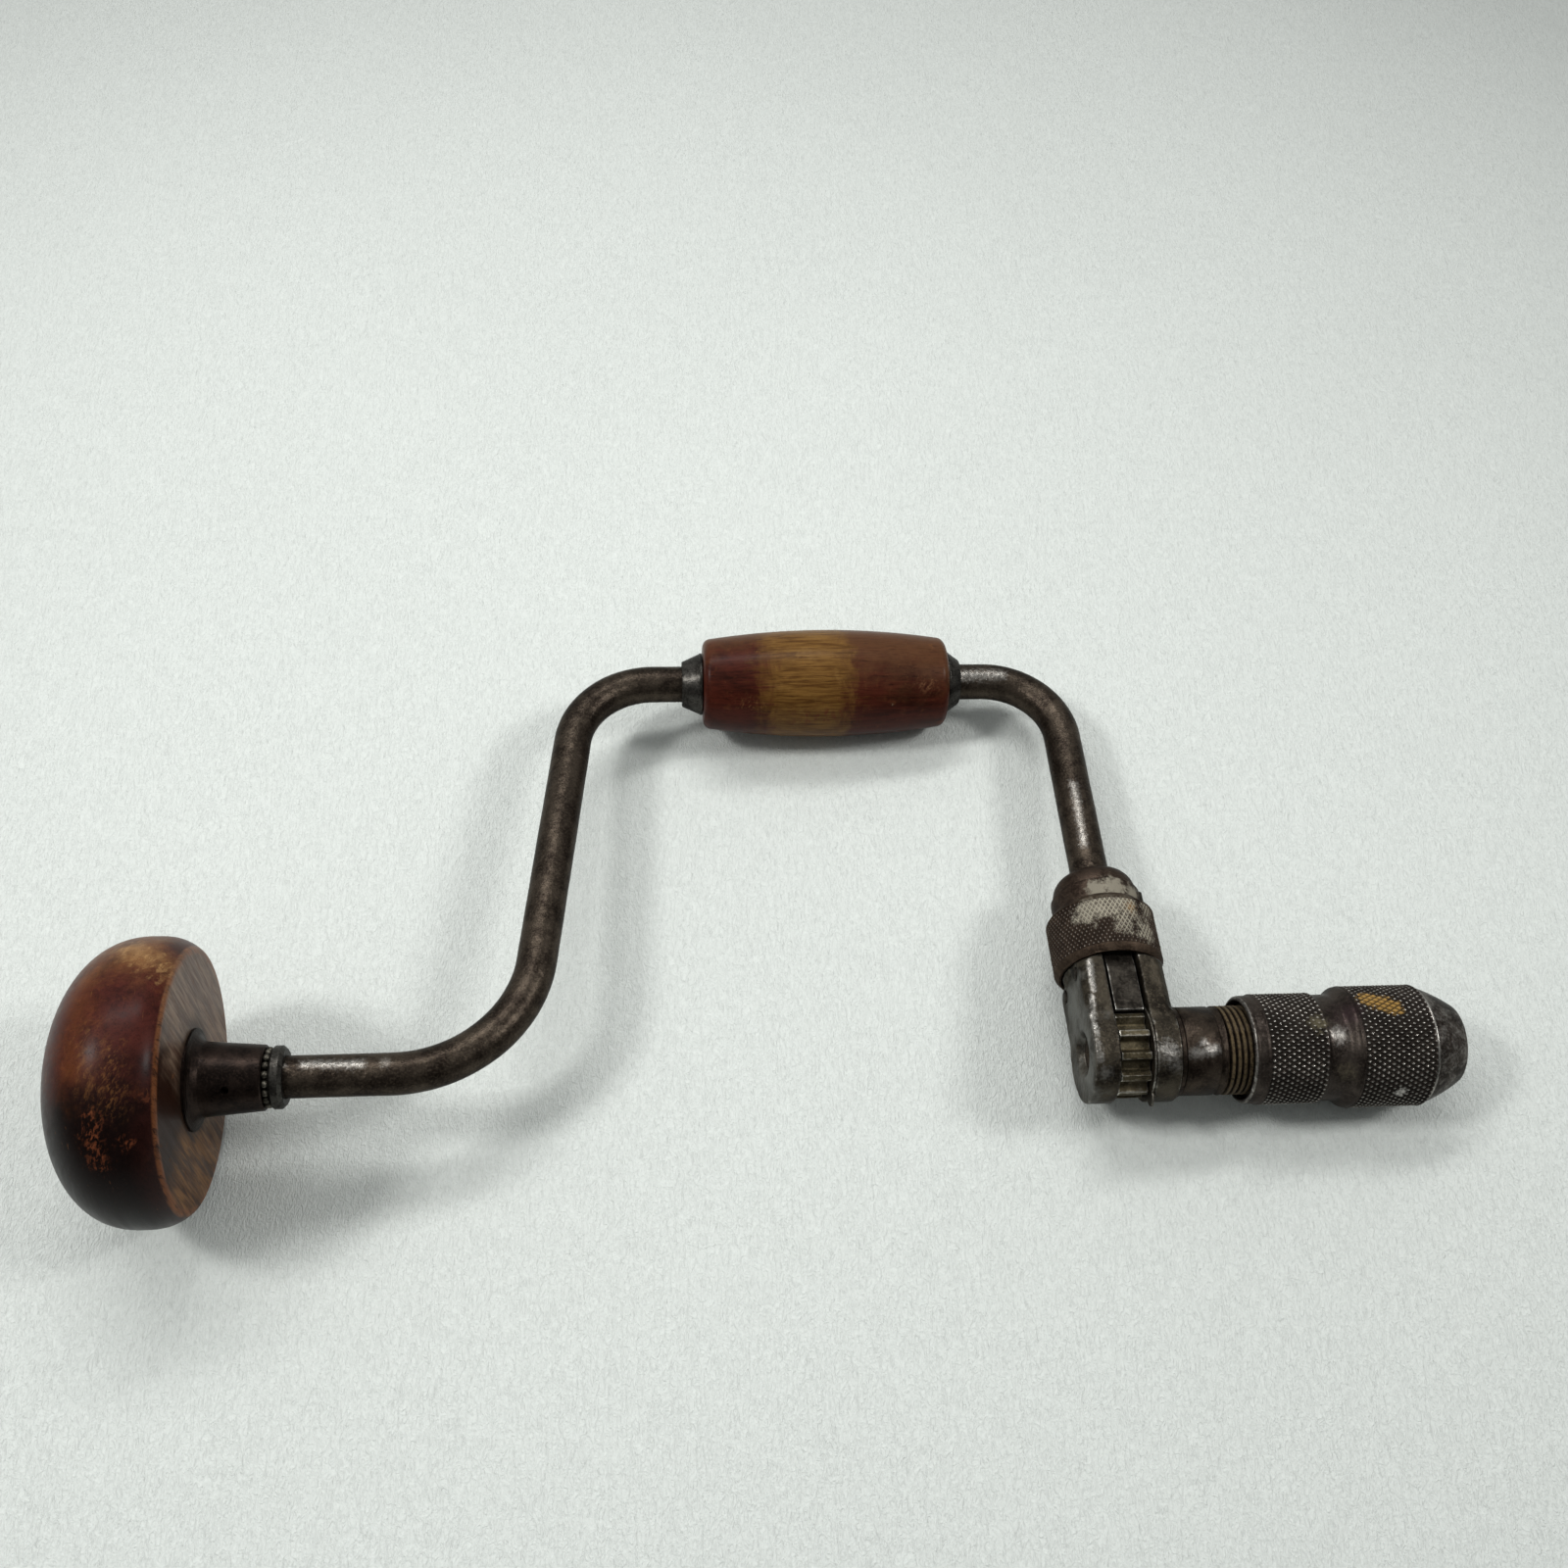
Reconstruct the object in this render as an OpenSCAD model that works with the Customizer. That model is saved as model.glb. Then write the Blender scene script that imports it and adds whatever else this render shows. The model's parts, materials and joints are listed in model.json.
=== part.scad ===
// Bit brace with a ten inch sweep, an open ratchet and a two-jaw screw chuck.
// It lies on a bench as it was laid down: on its head, its sweep handle and its chuck shell.
// Every piece is drawn in the brace's own working frame and is laid down at the very end:
// X runs along the spindle axis from the head to the chuck, Y runs out to the sweep handle
// and Z is square to the crank. X = 0 is the axis of the arm that carries the ratchet.

/* [Crank] */
// Distance from the spindle axis to the axis of the sweep handle
throw = 127; // [118:1:140]
// Diameter of the crank rod
rod_d = 10.8; // [10:0.1:11.2]
// Distance from the ratchet arm to the inner face of the head
head_reach = 239.9; // [230:0.1:255]
// Distance from the ratchet arm to the foot of the rear arm, on the spindle axis
rear_foot = 158.9; // [150:0.1:165]
// How far the rear arm leans towards the chuck by the time it reaches the handle axis
rear_lean = 14.6; // [8:0.1:20]
// Bend radius at the foot of the rear arm
foot_bend = 36; // [24:0.5:42]
// Bend radius at the rear end of the sweep
rear_bend = 24; // [12:0.5:26]
// Bend radius at the front end of the sweep
front_bend = 22; // [12:0.5:24]

/* [Head] */
// Diameter of the wooden head
head_d = 72.6; // [66:0.2:80]
// Height of the wooden head, from its inner face to the top of its dome
head_h = 33.3; // [30:0.1:38]
// Height of the widest circle of the head above its inner face
head_rim_h = 10.1; // [8:0.1:12]
// How much narrower the head is at its inner face than at its widest
head_draw = 5.6; // [3:0.2:8]
// Fullness of the dome, where 2 is an ellipse
dome_fullness = 2.25; // [2:0.05:2.6]
// Rounding where the side of the head meets its inner face
head_edge_r = 1.6; // [1:0.1:2.5]

/* [Quill and thrust bearing] */
// Diameter of the flange that seats on the head
quill_flange_d = 25.8; // [24:0.2:30]
// Thickness of that flange at its edge
quill_flange_t = 0.6; // [0.4:0.1:1.2]
// Diameter of the neck just below the flange
quill_neck_d = 18.8; // [18.4:0.1:20]
// Diameter of the quill at the thrust bearing
quill_end_d = 16.6; // [16:0.1:17.4]
// Length of the quill that shows outside the head
quill_len = 17.9; // [15:0.1:22]
// Length of the flare between the flange and the neck
quill_flare_len = 3.2; // [2:0.1:5]
// Diameter of the stub that is screwed into the head
quill_stub_d = 18; // [17.2:0.1:18.4]
// Length of that stub
quill_stub_len = 16; // [12:0.5:18]
// Diameter of the oil hole
oil_hole_d = 2; // [1.5:0.1:3]
// Distance of the oil hole from the inner face of the head
oil_hole_at = 9.5; // [7:0.1:12]
// Diameter of one bearing ball
ball_d = 2; // [1.8:0.1:2.2]
// Number of bearing balls
ball_count = 18; // [12:1:18]
// Diameter of the circle that the ball centres lie on
ball_circle_d = 13.4; // [13.2:0.1:13.6]
// Gap that the balls hold open between the quill and the thrust collar
race_gap = 1.6; // [1.4:0.1:1.7]
// Diameter of the thrust collar on the crank
collar_d = 16; // [15.8:0.1:17]
// Width of the thrust collar
collar_w = 2.4; // [2:0.1:4]
// Diameter of the threaded end of the crank inside the head
journal_stub_d = 8; // [7:0.1:8.4]
// Width of the journal nut across its flats
nut_flats = 13; // [12:0.1:13.4]
// Thickness of the journal nut
nut_t = 4.2; // [3.5:0.1:5]

/* [Sweep handle] */
// Length of the wooden barrel
handle_len = 74; // [60:0.5:80]
// Distance from the ratchet arm to the middle of the barrel
handle_at = 70.8; // [66:0.1:74]
// Largest diameter of the barrel
handle_d = 32.5; // [29:0.1:36]
// Diameter of the barrel where its end rounding begins
handle_end_d = 26.7; // [25:0.1:28.5]
// Rounding of the barrel's ends
handle_edge_r = 2.6; // [1.5:0.1:3.5]
// Large diameter of the ferrules
ferrule_d = 18.8; // [17:0.1:21]
// Small diameter of the ferrules
ferrule_tip_d = 13.6; // [12.6:0.1:15]
// Length of the rear ferrule
rear_ferrule_len = 6.1; // [4:0.1:8]
// Length of the front ferrule
front_ferrule_len = 4.2; // [3:0.1:6]
// Width of the straight band at a ferrule's large end
ferrule_band = 0.7; // [0.5:0.1:1.2]

/* [Fork] */
// Width of the fork over the outer faces of its two ears
fork_w = 23; // [22:0.1:24]
// Width of the slot between the ears
slot_w = 9.3; // [9:0.1:9.8]
// Radius of the round lower end of the ears
ear_r = 13; // [12.5:0.1:13.6]
// Thickness of the straps square to the crank
strap_t = 24.4; // [23:0.1:25]
// Radius that the corners of the straps are turned down to
strap_turn_r = 15.5; // [15:0.1:16]
// Where the turning of the straps runs out, measured from the spindle axis
turn_runout_y = 8; // [7:0.1:8.5]
// Where the rounded shoulders of the straps begin
shoulder_y = 20.5; // [19:0.1:21.5]
// Where the slot between the ears ends
slot_top_y = 32; // [31.5:0.1:33]
// Diameter of the cross pin that locks the crank in the fork
cross_pin_d = 3; // [2.5:0.1:3.5]
// Place of that cross pin along the arm
cross_pin_y = 37.6; // [36:0.1:38]
// Depth of the countersink in the rear ear
countersink_depth = 2; // [1.5:0.1:2.6]

/* [Cam ring and cap] */
// Outer diameter of the knurled cam ring
ring_d = 29.8; // [29.4:0.1:31]
// Lower edge of the ring along the arm
ring_y0 = 23.4; // [23.2:0.1:24]
// Upper edge of the ring along the arm
ring_y1 = 41.8; // [41:0.1:42.6]
// Diameter of the turned hub that the ring runs on
hub_d = 24.8; // [24:0.1:25]
// Diameter of the shouldered end of the hub
hub_neck_d = 22; // [21:0.1:22.6]
// Thickness of the lip that keeps the ring on the hub
ring_lip = 2; // [1.6:0.1:2.4]
// Turn of the ring to either side of its middle position, in degrees
ring_turn = 20; // [15:1:22]
// Diameter of the cap above the ring
cap_d = 24.8; // [24:0.1:25.4]
// Height of the cap's straight band
cap_band = 5.5; // [4:0.1:7]
// Height of the cap's dome
cap_dome = 6.5; // [6:0.1:8]
// How full the dome's outline is: 2 is an ellipse, more is squarer
cap_fullness = 2.3; // [2:0.1:3]
// Diameter of the stop pin
stop_pin_d = 2.3; // [1.8:0.1:2.6]
// Angle of the stop pin round the arm, from the chuck's side upwards
stop_pin_angle = 34; // [0:1:60]

/* [Ratchet wheel] */
// Number of teeth
teeth = 12; // [12:4:16]
// Diameter over the teeth
wheel_d = 23.6; // [23:0.1:24]
// Diameter at the roots of the teeth
wheel_root_d = 19.4; // [18.8:0.1:19.8]
// Width of a tooth at its crest
crest_w = 1.75; // [1.2:0.05:2]
// Width of a tooth at its root
root_w = 2.9; // [2.4:0.05:3.1]
// Width of the wheel along the spindle
wheel_w = 8.3; // [7.5:0.1:8.4]
// Thickness of the lugged washer beside the wheel
wheel_washer_t = 0.55; // [0.4:0.05:0.6]
// Diameter of the pin that locks the wheel to the spindle
wheel_pin_d = 2; // [1.5:0.1:2.4]
// Radius that the washer's lug reaches to
lug_r = 15.3; // [14:0.1:16]
// Width of the washer's lug
lug_w = 5; // [4:0.1:6]

/* [Pawls] */
// Width of a pawl along the spindle
pawl_w = 7.8; // [7.2:0.1:7.9]
// Distance of the outer face of a pawl from the middle of the crank
pawl_face_z = 11; // [10.6:0.1:11.2]
// Place of the pawl pins along the arm
pawl_pin_y = 20.5; // [20:0.1:21]
// Distance of a pawl pin from the middle of the crank
pawl_pin_z = 6.5; // [6:0.1:7]
// Diameter of the pawl pins
pawl_pin_d = 3.5; // [3:0.1:3.8]
// Swing of a pawl to either side of its middle position, in degrees
pawl_swing = 5.6; // [5:0.1:6]
// Depth of a pawl's nose in the teeth in its middle position
nose_depth = 0.9; // [0.7:0.05:1]
// Distance of a pawl's inner face from the middle of the crank
pawl_inner_z = 3.2; // [2.8:0.1:3.6]
// End of a pawl's tail along the arm
tail_end_y = 30.5; // [30:0.1:30.8]
// Width of the finger on a pawl's tail that follows the cam
finger_w = 3; // [2.4:0.1:3.2]
// Middle of that finger along the arm
finger_y = 27.5; // [27:0.1:28]
// Length of that finger along the arm
finger_len = 3.5; // [3:0.1:4]
// Mean radius of the pawl spring's coil
pawl_spring_r = 1.7; // [1.4:0.05:1.8]
// Number of turns of the pawl spring
pawl_spring_turns = 7; // [5:1:8]

/* [Spindle] */
// Diameter of the spindle in the front ear
journal_d = 13; // [12.6:0.1:13.4]
// Diameter of the spindle in the wheel
seat_d = 12; // [11.4:0.1:12.2]
// Diameter of the spindle in the rear ear
tail_d = 9; // [8:0.1:10]
// Diameter of the loose washer against the front ear
spindle_washer_d = 23.8; // [22:0.1:24.4]
// Thickness of that washer
spindle_washer_t = 1.5; // [1:0.1:2]
// Diameter of the smooth collar of the spindle
spindle_collar_d = 23.3; // [22.6:0.1:23.4]
// Length of that collar
spindle_collar_len = 9.3; // [7:0.1:10.5]
// Diameter and width of the relief groove behind the thread
relief_d = 21.6; // [20.8:0.1:22]
// Width of that relief groove
relief_w = 1.4; // [1:0.1:2]
// Outer diameter of the thread
thread_d = 23.4; // [23:0.1:23.6]
// Front end of the spindle
spindle_end_x = 60; // [58:0.5:62]
// Bottom of the slot that takes the jaws
jaw_slot_x = 44; // [42:0.5:46]
// Width of that slot
jaw_slot_w = 8.4; // [8:0.1:9]
// Width of the square socket for a bit's tang
tang_w = 7; // [6:0.1:8]
// Depth of that socket
tang_depth = 8; // [6:0.5:10]

/* [Chuck shell] */
// Rear rim of the shell
shell_rear_x = 30.3; // [29.8:0.1:31]
// Diameter of the open rear mouth round the thread
rear_mouth_d = 26; // [25.6:0.1:26.4]
// Depth of that mouth
rear_mouth_len = 2.6; // [1.5:0.1:3.2]
// Diameter of the smooth band behind the rear knurl
shell_band_d = 28.4; // [28:0.1:29]
// Where the rear knurl begins
rear_knurl_x0 = 34.2; // [33:0.1:35]
// Where the rear knurl ends
rear_knurl_x1 = 49.8; // [49:0.1:51]
// Diameter of the rear knurl
rear_knurl_d = 29.2; // [28.8:0.1:29.6]
// Diameter of the waist
waist_d = 28; // [27.6:0.1:28.4]
// Where the waist ends and the shell swells
waist_end_x = 55; // [54:0.1:56]
// Where the swell reaches its full diameter
swell_x = 58.2; // [57.6:0.1:58.4]
// Where the front knurl begins
front_knurl_x0 = 58.8; // [58.7:0.1:60]
// Where the front knurl ends
front_knurl_x1 = 78; // [77:0.1:79]
// Diameter of the front knurl
shell_d = 32.2; // [31.4:0.1:33]
// Front end of the shell
shell_end_x = 89.2; // [88.9:0.1:90.2]
// Diameter of the nose where its end rounding begins
nose_d = 21.4; // [20.6:0.1:22]
// Rounding of the nose's end
nose_edge_r = 1.2; // [0.6:0.1:1.6]
// Diameter of the mouth
mouth_d = 14.8; // [14.2:0.1:15.2]
// Depth of the straight wall of the mouth
mouth_len = 1.8; // [1.5:0.1:2.2]
// Bore of the shell over the thread
shell_bore_d = 23.6; // [23.6:0.1:23.8]
// Bore of the shell round the closing ring
cavity_d = 24.2; // [24.2:0.1:24.8]
// Pitch of the chuck's thread
thread_pitch = 1.6; // [1.4:0.1:1.8]

/* [Jaws] */
// Width of a jaw in the spindle's slot
jaw_w = 7.8; // [7:0.1:8]
// Width of a jaw in the closing ring
jaw_head_w = 6.4; // [5.6:0.1:6.6]
// Distance of a jaw's heel from the middle of the chuck
heel_z = 5.6; // [5:0.1:6]
// Radius of a jaw's round heel
heel_r = 3; // [2.6:0.1:3.2]
// Half of the opening between the jaws as they lie
grip_gap = 3; // [2.8:0.05:3.1]
// Front end of the jaws
jaw_end_x = 87.1; // [86.7:0.1:87.2]
// Middle of the closing ring's bearing land
land_x = 82.2; // [81.8:0.1:82.4]
// Radius of that land at its middle
land_r = 6.95; // [6.8:0.05:7.1]
// Slope of the closing cone, radius for each unit of length
cone_slope = 0.325; // [0.3:0.005:0.34]
// Depth of the V groove in a jaw
groove_depth = 0.9; // [0.6:0.1:1]
// Mean radius of the jaw spring's coil
jaw_spring_r = 1.8; // [1.4:0.05:2]
// Number of turns of the jaw spring
jaw_spring_turns = 7; // [5:1:8]

/* [Fits] */
// Radial clearance of a running fit in metal
run = 0.05; // [0.03:0.01:0.08]
// Radial clearance of a pressed or screwed fit
press = 0.02; // [0.01:0.01:0.03]
// Gap left between faces that pass each other
gap = 0.25; // [0.2:0.05:0.3]

/* [Hidden] */
$fn = 96;

// Colours of the finishes
wood_red = "#6e2f1c";
wood_gold = "#8a4a20";
steel_dark = "#4a4440";
steel_worn = "#6a625a";
steel_blue = "#5c6066";
steel_bright = "#8d8a84";

// Crank. A bend comes out of the forge a little thinner than the straight rod, which
// overlaps it by a short lap.
rod_r = rod_d / 2;
bend_thinning = 0.03;
bend_lap = 0.4;
lean_angle = atan(rear_lean / throw);
bend_turn = 90 - lean_angle;
foot_tangent = foot_bend * tan(bend_turn / 2);
rear_tangent = rear_bend * tan(bend_turn / 2);
rear_top_x = rear_lean - rear_foot;
rear_arm_len = sqrt(throw * throw + rear_lean * rear_lean) - foot_tangent - rear_tangent;
socket_y = slot_top_y + 1.6;

// Head and thrust bearing
head_r = head_d / 2;
head_wide_x = -head_reach - head_rim_h;
head_top_x = -head_reach - head_h;
head_edge_angle = 42;
head_side_h = head_rim_h - head_edge_r * (1 - sin(head_edge_angle));
stub_end_x = -head_reach - quill_stub_len;
thrust_x = quill_len - head_reach;
ball_x = thrust_x + race_gap / 2;
collar_x = thrust_x + race_gap;
collar_chamfer = 0.6;
collar_step = 0.9;
nut_x = stub_end_x - gap;
nut_corner_r = nut_flats / 2 / cos(30);
chamber_r = nut_corner_r + 4 * gap;
chamber_end_x = nut_x - nut_t - 4 * gap;
oil_hole_angle = 45;

// Sweep handle
handle_r = handle_d / 2;
handle_half = handle_len / 2;
handle_bore_r = rod_r + 0.3;
handle_crown = handle_r - handle_end_d / 2;
handle_arc_r = (handle_half * handle_half + handle_crown * handle_crown) / (2 * handle_crown);

// Fork and ring
ear_x = fork_w / 2;
slot_x = slot_w / 2;
hub_r = hub_d / 2;
hub_neck_r = hub_neck_d / 2;
cap_y = ring_y1 + 0.2;
hub_shoulder_y = ring_y1 - ring_lip - 0.2;
cap_r = cap_d / 2;
cap_step = 0.8;
ring_r = ring_d / 2;
ring_bore_r = hub_r + run;
ring_mouth_r = hub_r + 0.85;
ring_mouth_y = ring_y0 + 2.2;
ring_chamfer_r = 1.7;
ring_chamfer_y = 2;
ring_foot_r = 1;
ring_foot_y = 1.8;
shoulder_end_y = ring_y0 - gap;
strap_end_y = ring_y0 + 1;
spigot_r = hub_r + 0.4;
stop_pin_r = stop_pin_d / 2;
stop_pin_at = hub_neck_r + stop_pin_r + 0.15;
stop_pin_low_y = ring_y1 - 1.2;
stop_pin_top_y = cap_y + 3;
stop_half_angle = ring_turn + asin((stop_pin_r + 0.1) / stop_pin_at);
pin_proud = 0.4;
countersink_r = 6.1;

// Ratchet
wheel_r = wheel_d / 2;
wheel_root_r = wheel_root_d / 2;
wheel_x = -slot_x + gap;
wheel_pin_len = 2 * wheel_root_r - 0.4;
tooth_angle = 360 / teeth;
washer_x = slot_x - wheel_washer_t - run;

// Pawls. The nose drops into the gap that lies one and a half teeth from the crank's plane
// normal; its end face clears the flank of the tooth before that gap.
tooth_corner_y = wheel_r * sin(tooth_angle) + crest_w / 2 * cos(tooth_angle);
nose_end_y = tooth_corner_y + 0.3;
nose_z = sqrt(pow(wheel_r - nose_depth, 2) - nose_end_y * nose_end_y);
nose_relief_y = wheel_r + 0.8;
pawl_heel_y = nose_relief_y + 2;
tail_z = pawl_face_z - 0.8;
tail_slope_y = 20;
tail_flat_y = 24;
cam_arm = finger_y - pawl_pin_y;
cam_rise = cam_arm * sin(pawl_swing);
finger_top_z = ring_bore_r + cam_rise - 0.1;
cam_clearance = 0.22;
cam_mid_r = finger_top_z + cam_clearance;
cam_half_angle = ring_turn + 8.5;
pocket_taper = 1.3;
pocket_reach = 4;
cam_steps = 22;
cam_top_y = finger_y + finger_len / 2 + 1.2;
spring_wire = 0.5;
pawl_seat_depth = 1.8;
pawl_seat_r = pawl_spring_r + spring_wire / 2 + 0.3;
pawl_spring_len = 2 * (pawl_inner_z + pawl_seat_depth) - spring_wire - 0.2;

// Spindle
tail_x = countersink_depth - 0.25 - ear_x;
spindle_washer_x = ear_x + run;
collar_front_x = spindle_washer_x + spindle_washer_t + run;
collar_end_x = collar_front_x + spindle_collar_len;
thread_x = collar_end_x + relief_w;
collar_chamfer_x = 0.35;
thread_chamfer = 0.5;
centre_hole_r = 1.2;
centre_hole_depth = 1.5;

// Shell and jaws
rim_round = 0.9;
nose_taper_x = front_knurl_x1 + 0.9;
nose_taper_r = shell_d / 2 - 0.6;
nose_fall = 0.7;
nose_edge_angle = 32;
nose_edge_x = shell_end_x - nose_edge_r * (1 - sin(nose_edge_angle));
nose_edge_at = nose_d / 2 - nose_edge_r * cos(nose_edge_angle);
cavity_x = 63.5;
shell_cone_x = 78.2;
mouth_x = shell_end_x - mouth_len;
land_half = 2;
ring_back_len = 11;
ring_rear_x = land_x - ring_back_len;
ring_front_x = land_x + land_half;
closing_r = cavity_d / 2 - 0.1;
closing_bore_r = 10.9;
shell_cone_slope = (cavity_d - mouth_d) / 2 / (mouth_x - shell_cone_x);
closing_cone_x = shell_cone_x - 0.6;
closing_front_r = cavity_d / 2 - shell_cone_slope * (ring_front_x - shell_cone_x) - 0.35;
jaw_relief = 0.4;
heel_x = jaw_slot_x + heel_r + 0.3;
jaw_back_z = 8.4;
jaw_inner_z = 2.2;
jaw_head_x = ring_rear_x;
jaw_body_r = 10.1;
jaw_spring_x = 56;
jaw_seat_depth = 2.4;
jaw_seat_r = jaw_spring_r + spring_wire / 2 + 0.3;
jaw_spring_len = 2 * (jaw_inner_z + jaw_seat_depth) - spring_wire - 0.2;

// Lying down. The tip drops the chuck until head and shell both touch, and the lean drops
// the sweep handle until it touches too.
shell_touch_x = front_knurl_x1;
tip = atan((head_r - shell_d / 2) / (shell_touch_x - head_wide_x));
axis_h_at_handle = head_r * cos(tip) - sin(tip) * (-handle_at - head_wide_x);
lean = asin((axis_h_at_handle - handle_r * cos(tip)) / (throw * cos(tip)));
axis_h = head_r * cos(tip) + sin(tip) * head_wide_x;
low_x = head_top_x * cos(tip);
high_x = (shell_end_x - nose_edge_r) * cos(tip) + nose_edge_at * sin(tip) + nose_edge_r;
low_y = -head_r;
high_y = throw * cos(lean) + handle_r;

// Points of an arc, from one angle to another
function arc(cx, cy, r, from, to, steps) =
    [for (i = [0:steps]) let (a = from + (to - from) * i / steps) [cx + r * cos(a), cy + r * sin(a)]];

// Point at an angle from +Z towards -Y, in the (Y, Z) plane
function from_up(a, r) = [-r * sin(a), r * cos(a)];

// Lays the brace down with its origin below the middle of its outline
module lay_down() {
    translate([-(low_x + high_x) / 2, -(low_y + high_y) / 2, axis_h])
        rotate([-lean, tip, 0])
            children();
}

// Turns a profile of (radius, station) about the X axis
module turned_x(points) {
    rotate([0, 90, 0])
        rotate_extrude()
            polygon(points);
}

// Turns a profile of (radius, station) about the Y axis
module turned_y(points) {
    rotate([-90, 0, 0])
        rotate_extrude()
            polygon(points);
}

// Round bar along X
module bar_x(r, from, to) {
    translate([from, 0, 0])
        rotate([0, 90, 0])
            cylinder(r = r, h = to - from);
}

// Round bar along Y
module bar_y(r, from, to) {
    translate([0, from, 0])
        rotate([-90, 0, 0])
            cylinder(r = r, h = to - from);
}

// Extrudes a (Y, Z) outline along X
module plate_x(from, to) {
    translate([from, 0, 0])
        rotate([90, 0, 90])
            linear_extrude(to - from)
                children();
}

// Extrudes an (X, Z) outline along Y, to both sides
module plate_y(width) {
    rotate([90, 0, 0])
        linear_extrude(width, center = true)
            children();
}

// One bend of the rod, which starts at an angle round its centre
module rod_bend(centre, radius, start, turn) {
    translate([centre[0], centre[1], 0])
        rotate([0, 0, start])
            rotate_extrude(angle = turn)
                translate([radius, 0])
                    circle(r = rod_r - bend_thinning);
}

// Forged crank: journal, rear arm, sweep, and the arm that enters the fork
module crank_rod() {
    color(steel_dark)
    lay_down()
    difference() {
        union() {
            bar_x(rod_r, nut_x, -rear_foot - foot_tangent + bend_lap);
            bar_x(journal_stub_d / 2, nut_x - nut_t - 2 * gap, nut_x + 1);
            rod_bend([-rear_foot - foot_tangent, foot_bend], foot_bend, -90, bend_turn);
            translate([-rear_foot, 0, 0])
                rotate([0, 0, bend_turn])
                    bar_x(rod_r, foot_tangent - bend_lap, foot_tangent + rear_arm_len + bend_lap);
            rod_bend([rear_top_x + rear_tangent, throw - rear_bend], rear_bend, 90, bend_turn);
            translate([0, throw, 0])
                bar_x(rod_r, rear_top_x + rear_tangent - bend_lap, -front_bend + bend_lap);
            rod_bend([-front_bend, throw - front_bend], front_bend, 0, 90);
            bar_y(rod_r, socket_y, throw - front_bend + bend_lap);
        }
        translate([0, cross_pin_y, 0])
            bar_x(cross_pin_d / 2 + press, -rod_d, rod_d);
    }
}

// Points of the head's dome, from its top to its widest circle
function dome_points(steps) =
    [for (i = [0:steps]) let (t = 90 * i / steps, p = 2 / dome_fullness)
        [head_r * pow(sin(t), p), head_wide_x - (head_h - head_rim_h) * pow(cos(t), p)]];

// Points of the head's side, from its widest circle to its inner edge
function side_points(steps) =
    [for (i = [1:steps]) let (t = i / steps)
        [head_r - head_draw / 2 * pow(t, 3), head_wide_x + head_side_h * t]];

// Turned wooden head, bored for the quill and for the nut behind it
module head_pad() {
    edge_r = head_r - head_draw / 2 - head_edge_r * cos(head_edge_angle);
    color(wood_red)
    lay_down()
    difference() {
        turned_x(concat(
            dome_points(28),
            side_points(6),
            arc(edge_r, -head_reach - head_edge_r, head_edge_r, head_edge_angle + 12, 90, 4),
            [[0, -head_reach]]));
        bar_x(quill_stub_d / 2 + press, stub_end_x, -head_reach + 1);
        bar_x(chamber_r, chamber_end_x, stub_end_x + 1);
    }
}

// Steel quill of the head: stub, flange and the sleeve that turns on the crank
module head_quill() {
    flange_x = quill_flange_t - head_reach;
    flare_w = (quill_flange_d - quill_neck_d) / 2;
    color(steel_blue)
    lay_down()
    difference() {
        turned_x(concat(
            [[0, stub_end_x], [quill_stub_d / 2, stub_end_x], [quill_stub_d / 2, -head_reach],
                [quill_flange_d / 2, -head_reach], [quill_flange_d / 2, flange_x]],
            [for (i = [1:6]) let (a = 15 * i)
                [quill_flange_d / 2 - flare_w * sin(a), flange_x + quill_flare_len * (1 - cos(a))]],
            [[quill_end_d / 2, thrust_x - 0.4], [quill_end_d / 2 - 0.4, thrust_x], [0, thrust_x]]));
        bar_x(rod_r + run, stub_end_x - 1, thrust_x + 1);
        ball_groove();
        translate([oil_hole_at - head_reach, 0, 0])
            rotate([oil_hole_angle, 0, 0])
                cylinder(d = oil_hole_d, h = quill_flange_d);
    }
}

// Ring groove that the balls run in
module ball_groove() {
    translate([ball_x, 0, 0])
        rotate([0, 90, 0])
            rotate_extrude()
                translate([ball_circle_d / 2, 0])
                    circle(r = ball_d / 2 + run, $fn = 32);
}

// Ring of bearing balls between the quill and the thrust collar
module thrust_balls() {
    color(steel_bright)
    lay_down()
    for (i = [0:ball_count - 1])
        rotate([i * 360 / ball_count, 0, 0])
            translate([ball_x, 0, ball_circle_d / 2])
                sphere(d = ball_d, $fn = 24);
}

// Thrust collar, pressed on the crank
module thrust_collar() {
    collar_end = collar_x + collar_w;
    color(steel_worn)
    lay_down()
    difference() {
        turned_x([
            [rod_r + press, collar_x], [collar_d / 2 - collar_chamfer, collar_x],
            [collar_d / 2, collar_x + collar_chamfer], [collar_d / 2, collar_end],
            [collar_d / 2 - collar_step, collar_end + collar_step], [rod_r + press, collar_end + collar_step]]);
        ball_groove();
    }
}

// Hexagon nut on the end of the crank, inside the head
module journal_nut() {
    color(steel_worn)
    lay_down()
    difference() {
        translate([nut_x - nut_t, 0, 0])
            rotate([0, 90, 0])
                cylinder(r = nut_corner_r, h = nut_t, $fn = 6);
        bar_x(journal_stub_d / 2 + press, nut_x - nut_t - 1, nut_x + 1);
    }
}

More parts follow.
